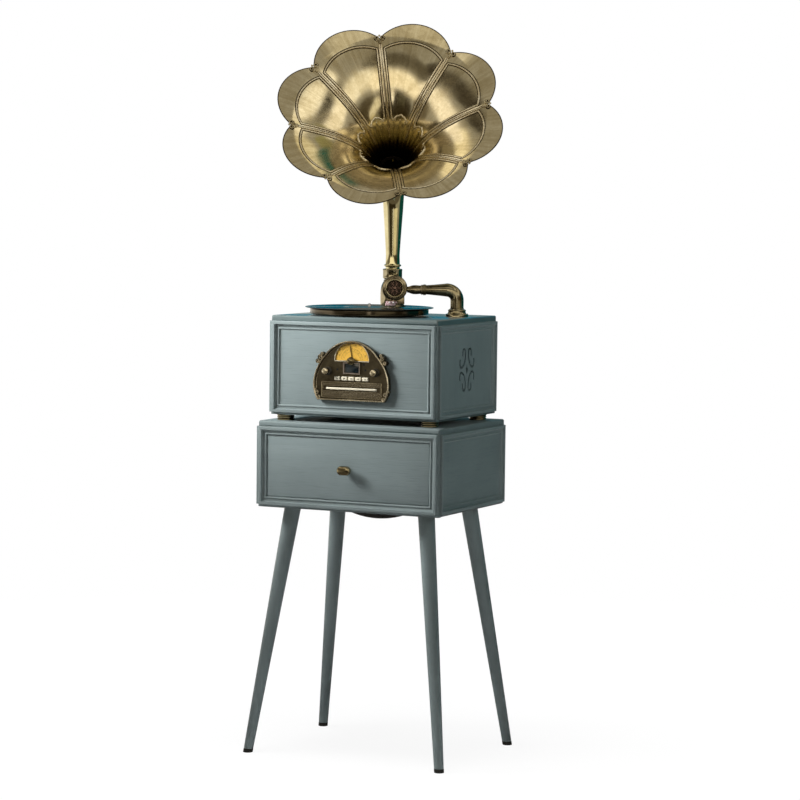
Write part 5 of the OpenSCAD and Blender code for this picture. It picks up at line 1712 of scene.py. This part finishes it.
@dataclass
class Fascia(Assembly):
    """The arched metal panel: rim, scrolls, dial, display, knobs, buttons and disc tray."""

    face_y: float = -154.0
    base_z: float = 830.5
    height: float = 138.0
    half_w: float = 97.0
    base_half: float = 80.0
    shoulder: Point = (67.5, 103.5)
    plate_t: float = 6.0
    rim_t: float = 11.0
    waist_z: float = 37.0
    foot_in: float = 11.0
    dial_z: float = 92.0
    dial_r: float = 44.0
    knob_x: float = 61.5
    knob_z: float = 67.0
    button: Point = (14.5, 8.6)
    button_z: float = 51.0
    button_pitch: float = 18.0
    slot_z: float = 27.5
    display: tuple[float, float, float] = (38.0, 21.0, 75.0)

    def build(self) -> None:
        """Makes the panel's trim and everything that turns, presses or slides in it."""
        self.edge()
        self.scrolls()
        self.slot_panel()
        self.display_frame()
        self.dial()
        self.pointer()
        self.side_knob("volume_knob", -self.knob_x)
        self.side_knob("mode_knob", self.knob_x)
        self.tuning_knob()
        self.buttons()
        self.tray()

    @property
    def plane(self) -> Matrix:
        """The panel's own frame: X to the right, Y up and Z out of its face."""
        return at(0, self.face_y, self.base_z, 90, "X")

    def outline(self, inset: float) -> list[Point]:
        """The panel's outline, from the right bottom corner over the arch to the left one.

        Args:
            inset: how far inside the edge it runs.

        Returns:
            The outline's points.
        """
        sx, sz = self.shoulder

        def side_x(z: float) -> float:
            """Half the panel's width at a height."""
            if z > self.waist_z:
                share = (z - self.waist_z) / (sz - self.waist_z)
                return self.half_w - (self.half_w - sx) * share ** 2
            return self.half_w - self.foot_in * ((self.waist_z - z) / self.waist_z) ** 2

        rise = self.height - sz
        arch_r = (sx * sx + rise * rise) / (2 * rise)
        half = math.degrees(math.asin(sx / arch_r))
        side = [(side_x(z) - inset, z) for z in evenly(inset, sz - 4, 24)]
        arch = arc((0, self.height - arch_r), arch_r - inset, 90 - half, 90 + half, 36)
        return ([(self.base_half - inset, inset)] + side + arch
                + [(-x, z) for x, z in reversed(side)] + [(inset - self.base_half, inset)])

    def on_panel(self, points: Iterable[Point], z: float) -> list[Vector]:
        """Points of the panel's plane, standing off it by z."""
        return [self.plane @ Vector((x, y, z)) for x, y in points]

    def edge(self) -> None:
        """A rounded bead with a step inside it round the panel's rim."""
        piece = Blank("panel_bead")
        bead = [(-1.9, -1.0)] + arc((0, 0), 1.7, 180, 0, 8) + [(1.9, -1.0)]
        step = [(-0.8, -0.8), (-0.7, 0.3), (0, 0.7), (0.7, 0.3), (0.8, -0.8)]
        for profile, inset, z in ((bead, 1.9, self.rim_t - 0.3), (step, 5.6, self.plate_t)):
            path = self.on_panel(self.outline(inset), z)
            piece.sweep(profile, rail(path, [FRONTWARD] * len(path), True), closed=True)
        self.fit(piece, PANEL_EDGE, "fascia", trim=True, smooth=50.0)

    def scrolls(self) -> None:
        """Cast curls at the shoulders and the bottom corners, with dark discs of painted shade in
        their hollows.
        """
        piece, dark, steps = Blank("panel_scrolls"), Blank("scroll_hollows"), 30
        curls = ((0, 0, 6.5, 0.6, 1), (6.8, -9.2, 5.4, 1.2, -1), (-3.8, 7.7, 4.4, 1.8, 1))
        for mirror in (1, -1):
            hand_over = Matrix.Diagonal((mirror, 1, 1, 1))
            for cx, cy, turn in ((79, 98.5, 0), (88, 17, -62)):
                for dx, dy, size, drop, hand in curls:
                    spot = hand_over @ at(cx, cy, self.rim_t - drop - 1.0, turn)
                    reach = size - 1.2
                    curl = coil((dx, dy), hand * 0.8, hand * 1.45 * TURN, (reach, reach * 0.28),
                                steps)
                    piece.tube([self.plane @ spot @ Vector((x, y, 1.0)) for x, y in curl],
                               evenly(1.35, 0.8, steps), 8, up=FRONTWARD)
                    hub = spot @ Vector((dx, dy, 0))
                    # A dark disc of painted shade under the hollow of each curl.
                    dark.lathe([(0, -2.0), (size - 2.2, -2.0), (size - 2.2, -1.2), (0, -1.2)], 24,
                               self.plane @ Matrix.Translation(hub))
        self.fit(piece, PANEL_EDGE, "fascia", trim=True, smooth=60.0)
        self.fit(dark, PATINA_AND_SHADE, "fascia", trim=True)

    def slot_panel(self) -> None:
        """A fine frame and a bed of ridges round the disc slot."""
        piece = Blank("slot_ridges")
        bead = [(0, -0.5), (0, 0.2), (0.5, 0.75), (1.1, 0.75), (1.6, 0.2), (1.6, -0.5)]
        piece.border(bead, self.on_panel(rectangle((-77, 6), (77, 43)), self.plate_t + 1.5),
                     FRONTWARD)
        bed = self.plate_t + 0.5
        piece.border([(0, -0.4), (0, 0.7), (0.6, 0.7), (0.9, -0.4)],
                     self.on_panel(rectangle((-73.8, 9.2), (73.8, 39.8)), bed), FRONTWARD)
        for z in (12.0, 14.9, 17.8, 20.7, 34.3, 37.2):
            piece.tube(self.on_panel(((-72.6, z), (72.6, z)), bed), 0.75, 8, up=FRONTWARD)
        self.fit(piece, PANEL_EDGE, "fascia", trim=True)

    def display_frame(self) -> None:
        """A bevelled frame round the dark window, the window itself and three small lenses."""
        w, h, z = self.display
        frame = [(-2.6, -1.8), (-2.6, 0.2), (-1.9, 0.9), (-0.7, 0.9), (0.3, -0.2), (0.3, -1.8)]
        corners = rectangle((-w / 2, z - h / 2), (w / 2, z + h / 2))
        self.fit(Blank("window_frame").border(frame, self.on_panel(corners, self.plate_t + 2),
                                              FRONTWARD), WINDOW_FRAME, "fascia", trim=True)
        glass = Blank("window_glass").block((-w / 2 + 0.1, z - h / 2 + 0.1, self.plate_t - 2),
                                            (w / 2 - 0.1, z + h / 2 - 0.1, self.plate_t + 0.5),
                                            0.5, 3, self.plane)
        self.fit(glass, WINDOW, "display_window")
        lens = Blank("panel_lenses")
        for x, y in ((-36.8, 71.5), (30.6, 84), (34.8, 71.7)):
            place = self.plane @ at(x, y, 0)
            lens.lathe([(0, 3), (1.65, 3), (1.65, 5.6), (0, 5.9)], 20, place)
            lens.lathe([(1.7, 5.8), (1.7, 6.5), (2.1, 6.7), (2.5, 6.4), (2.6, 5.8)], 24, place,
                       closed=True)
        self.fit(lens, BLACK_PLASTIC, "fascia", trim=True)

    def dial(self) -> None:
        """The lit amber half disc with its lip."""
        low, z, r = self.plate_t - 2.5, self.dial_z, self.dial_r
        half = arc((0, z + 0.5), r - 0.6, 0, 180, 48)
        hub = arc((0, z + 0.5), 4.0, 0, 180, 16)
        plate = Blank("dial_plate").slab(half + hub[::-1], low, low + 1, self.plane)
        self.fit(plate, AMBER, "dial_face")
        lip = Blank("dial_lip").tube(self.on_panel(arc((0, z), r, 0, 180, 48), self.plate_t), 0.8,
                                     8, up=FRONTWARD)
        lip.tube(self.on_panel(((-r, z - 1.2), (r, z - 1.2)), self.plate_t + 0.1), 1.0, 8,
                 up=FRONTWARD)
        self.fit(lip, CREAM_LINE, "fascia", trim=True)
        self.scale(low + 1.0)

    def scale(self, top: float) -> None:
        """Prints the dial's ticks, lines and plain numbers.

        Args:
            top: the height of the dial's face.
        """
        marks = Blank("dial_marks")
        for ring_r, count, length, width in ((40.5, 48, 1.6, 0.30), (40.5, 12, 3.0, 0.55),
                                             (27.5, 36, 1.4, 0.28), (27.5, 9, 2.6, 0.5)):
            for angle in evenly(8, 172, count):
                marks.block((ring_r - length, -width / 2, -0.1), (ring_r, width / 2, 0.12), 0, 1,
                            self.plane @ at(0, self.dial_z, top, angle))
        for radius in (41.2, 33.0, 28.2, 21.0):
            marks.tube(self.on_panel(arc((0, self.dial_z), radius, 8, 172, 48), top), 0.16, 4,
                       up=FRONTWARD)
        for radius, labels, height in ((34.2, (88, 92, 96, 100, 104, 108), 3.0),
                                       (22.0, (54, 60, 70, 90, 120, 160), 2.6)):
            for label, angle in zip(labels, evenly(160, 20, len(labels) - 1)):
                self.number(marks, str(label), height,
                            self.plane @ at(0, self.dial_z, top, angle) @ at(radius, 0, 0, -90))
        self.fit(marks, DIAL_INK, "dial_face", trim=True)

    def number(self, blank: Blank, text: str, height: float, place: Matrix) -> None:
        """Adds a raised number to a blank.

        Args:
            blank: the piece on the bench.
            text: the number.
            height: its height.
            place: where it stands, centred on the first plane.
        """
        curve = bpy.data.curves.new("number", "FONT")
        curve.body, curve.size, curve.extrude = text, height, 0.12
        curve.align_x, curve.align_y, curve.resolution_u = "CENTER", "BOTTOM", 2
        letters = in_scene("number", curve)
        bpy.context.view_layer.update()
        shape = bpy.data.meshes.new_from_object(
            letters.evaluated_get(bpy.context.evaluated_depsgraph_get()))
        shape.transform(place)
        blank.bm.from_mesh(shape)
        bpy.data.objects.remove(letters)
        bpy.data.curves.remove(curve)
        bpy.data.meshes.remove(shape)

    def pointer(self) -> None:
        """A slim black pointer on its hub, a little left of upright."""
        place = self.plane @ at(0, self.dial_z, self.plate_t - 0.8, 8)
        piece = Blank("slim_pointer")
        piece.slab([(-0.7, 5), (0.7, 5), (0.5, 36), (0, 36.6), (-0.5, 36)], 0, 0.8, place)
        piece.lathe([(2.6, 0), (6, 0), (6, 0.7), (5.6, 1), (2.6, 1)], 32, place, closed=True)
        self.fit(piece, BLACK_PLASTIC, "dial_pointer")

    def side_knob(self, name: str, x: float) -> None:
        """A dark ribbed barrel with a smooth cream cap.

        Args:
            name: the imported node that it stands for.
            x: its left-right place on the panel.
        """
        place = self.plane @ at(x, self.knob_z, 0)
        cap = Blank(name + "_cap").lathe(
            [(0, 20.6), (7.2, 20.6), (7.6, 21.0)] + arc((5.4, 21.4), 2.2, 0, 70, 6)
            + [(3.0, 23.9), (0, 24.1)], 40, place)
        barrel = [(0, -2), (2.4, -2), (2.4, 6.5), (10, 6.5), (10, 8), (9.4, 8.8), (8.2, 9.8),
                  (8.8, 11.4), (8.8, 20.6), (8.1, 21.6), (0, 21.8)]
        body = Blank(name + "_barrel").lathe(barrel, 64, place)
        self.flute(body, place, (11.0, 20.8), 7.8, 24)
        self.fit(cap, BEAD_BRASS, name)
        self.fit(body, KNOB_DARK, name, trim=True, smooth=25.0)

    def flute(self, blank: Blank, place: Matrix, heights: Point, reach: float,
              count: int) -> None:
        """Presses grip flutes into a turned knob.

        Args:
            blank: the knob on the bench.
            place: the knob's own frame.
            heights: where the flutes start and end.
            reach: the radius outside which they are cut.
            count: how many there are.
        """
        inverse = place.inverted()
        for vert in blank.bm.verts:
            local = inverse @ vert.co
            r = math.hypot(local.x, local.y)
            if heights[0] < local.z < heights[1] and r > reach:
                cut = 0.28 * (1 - math.cos(count * math.atan2(local.y, local.x)))
                vert.co = place @ Vector((local.x * (1 - cut / r), local.y * (1 - cut / r),
                                          local.z))

    def tuning_knob(self) -> None:
        """The round brass knob at the foot of the dial."""
        place = self.plane @ at(0, self.dial_z, 0)
        profile = [(0, -2), (2.4, -2), (2.4, 8.4), (9, 8.4), (9, 10), (8.2, 10.8), (7.2, 11.8),
                   (7.8, 12.8), (7.8, 16.6)] + arc((6.0, 16.6), 1.8, 10, 70, 4) + [
                       (3.6, 19.2), (0, 19.5)]
        piece = Blank("dial_knob").lathe(profile, 64, place)
        self.flute(piece, place, (12.4, 17.0), 6.8, 20)
        self.fit(piece, BRIGHT_BRASS, "tuning_knob", smooth=25.0)

    def buttons(self) -> None:
        """Five cream keys, each with its plain mark."""
        w, h = self.button
        top = self.plate_t + 3.5
        triangle = [(-1.5, -1.7), (1.5, 0), (-1.5, 1.7)]
        bar = rectangle((-0.45, -1.7), (0.45, 1.7))
        square = rectangle((-1.5, -1.5), (1.5, 1.5))
        marks = (
            ((triangle, -1.2, 1), (bar, 1.6, 1)), ((square, 0, 1),),
            ((triangle, -1.7, -1), (triangle, 1.7, -1)), ((triangle, -1.7, 1), (triangle, 1.7, 1)),
            ((bar, -1.0, 1), (bar, 1.0, 1)),
        )
        for i, shapes in enumerate(marks):
            place = self.plane @ at((i - 2) * self.button_pitch, self.button_z, 0)
            name = f"button_{i + 1}"
            key = Blank(name + "_key").block((-w / 2, -h / 2, 2), (w / 2, h / 2, top), 0.9, 3,
                                             place)
            self.fit(key, CREAM, name)
            mark = Blank(name + "_mark")
            for shape, x, hand in shapes:
                mark.slab([(x + hand * px, py) for px, py in shape], top - 0.1, top + 0.08, place)
            self.fit(mark, DIAL_INK, name, trim=True)

    def tray(self) -> None:
        """A rounded cream lip on the front of the disc tray."""
        lip = Blank("tray_lip").block((-63.4, self.slot_z - 2.1, 6.6),
                                      (63.4, self.slot_z + 2.1, 9.1), 1.0, 3, self.plane)
        self.fit(lip, CREAM, "cd_tray", trim=True)


@dataclass
class BackPanel(Assembly):
    """Screws, plugs and pins on the hidden rear."""

    rear_y: float = 166.0
    stand_rear_y: float = 178.0
    strip_z: float = 841.0
    inlet_x: float = -64.0
    sockets: tuple[float, ...] = (-95.0, -113.0, -131.0)

    def build(self) -> None:
        """Puts the screws in the back boards and the pins in the inlet."""
        for name, y, xs, zs in (("cabinet_back", self.rear_y, (63, 190), (874, 1000)),
                                ("stand_back", self.stand_rear_y, (70, 205), (597, 757))):
            screws = Blank(name + "_screws")
            for x in (-xs[1], -xs[0], *xs):
                for z in zs:
                    screws.screw(at(x, y, z, -90, "X"), 3.2)
            self.fit(screws, BLACK_STEEL, name, trim=True)
        pins = Blank("inlet_pins")
        for x, z in ((-4.5, -2.5), (4.5, -2.5), (0, 3.2)):
            pins.block((self.inlet_x + x - 1.1, 150.5, self.strip_z + z - 2.4),
                       (self.inlet_x + x + 1.1, 163.5, self.strip_z + z + 2.4), 0.6, 2)
        self.fit(pins, PLAIN_STEEL, "rear_sockets", trim=True)
        rings = Blank("socket_rings")
        for x in self.sockets:
            rings.lathe([(2.6, 10.4), (2.6, 11.3), (4.0, 11.3), (4.3, 11.0), (4.3, 6.0),
                         (4.25, 6.0)], 32, at(x, self.rear_y - 6, self.strip_z, -90, "X"),
                        closed=True)
        self.fit(rings, PLAIN_STEEL, "rear_sockets", trim=True)


def dress_nodes(nodes: dict[str, bpy.types.Object]) -> None:
    """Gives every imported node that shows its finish.

    Args:
        nodes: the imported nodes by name.
    """
    for finish, names in NODE_GROUPS:
        for name in names.split():
            nodes[name].data.materials.clear()
            nodes[name].data.materials.append(finish.material())


def main() -> None:
    """Builds the studio and every sub-assembly in order."""
    logging.basicConfig(level=logging.INFO, format="%(name)s: %(message)s")
    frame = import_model()
    nodes = frame["nodes"]
    Studio().build()
    dress_nodes(nodes)
    for assembly in (Undercarriage, Carcase, Drawer, Fascia, Deck, Tonearm, Horn, BackPanel):
        LOG.info("building %s", assembly.__name__)
        assembly(nodes).build()


if __name__ == "__main__":
    main()
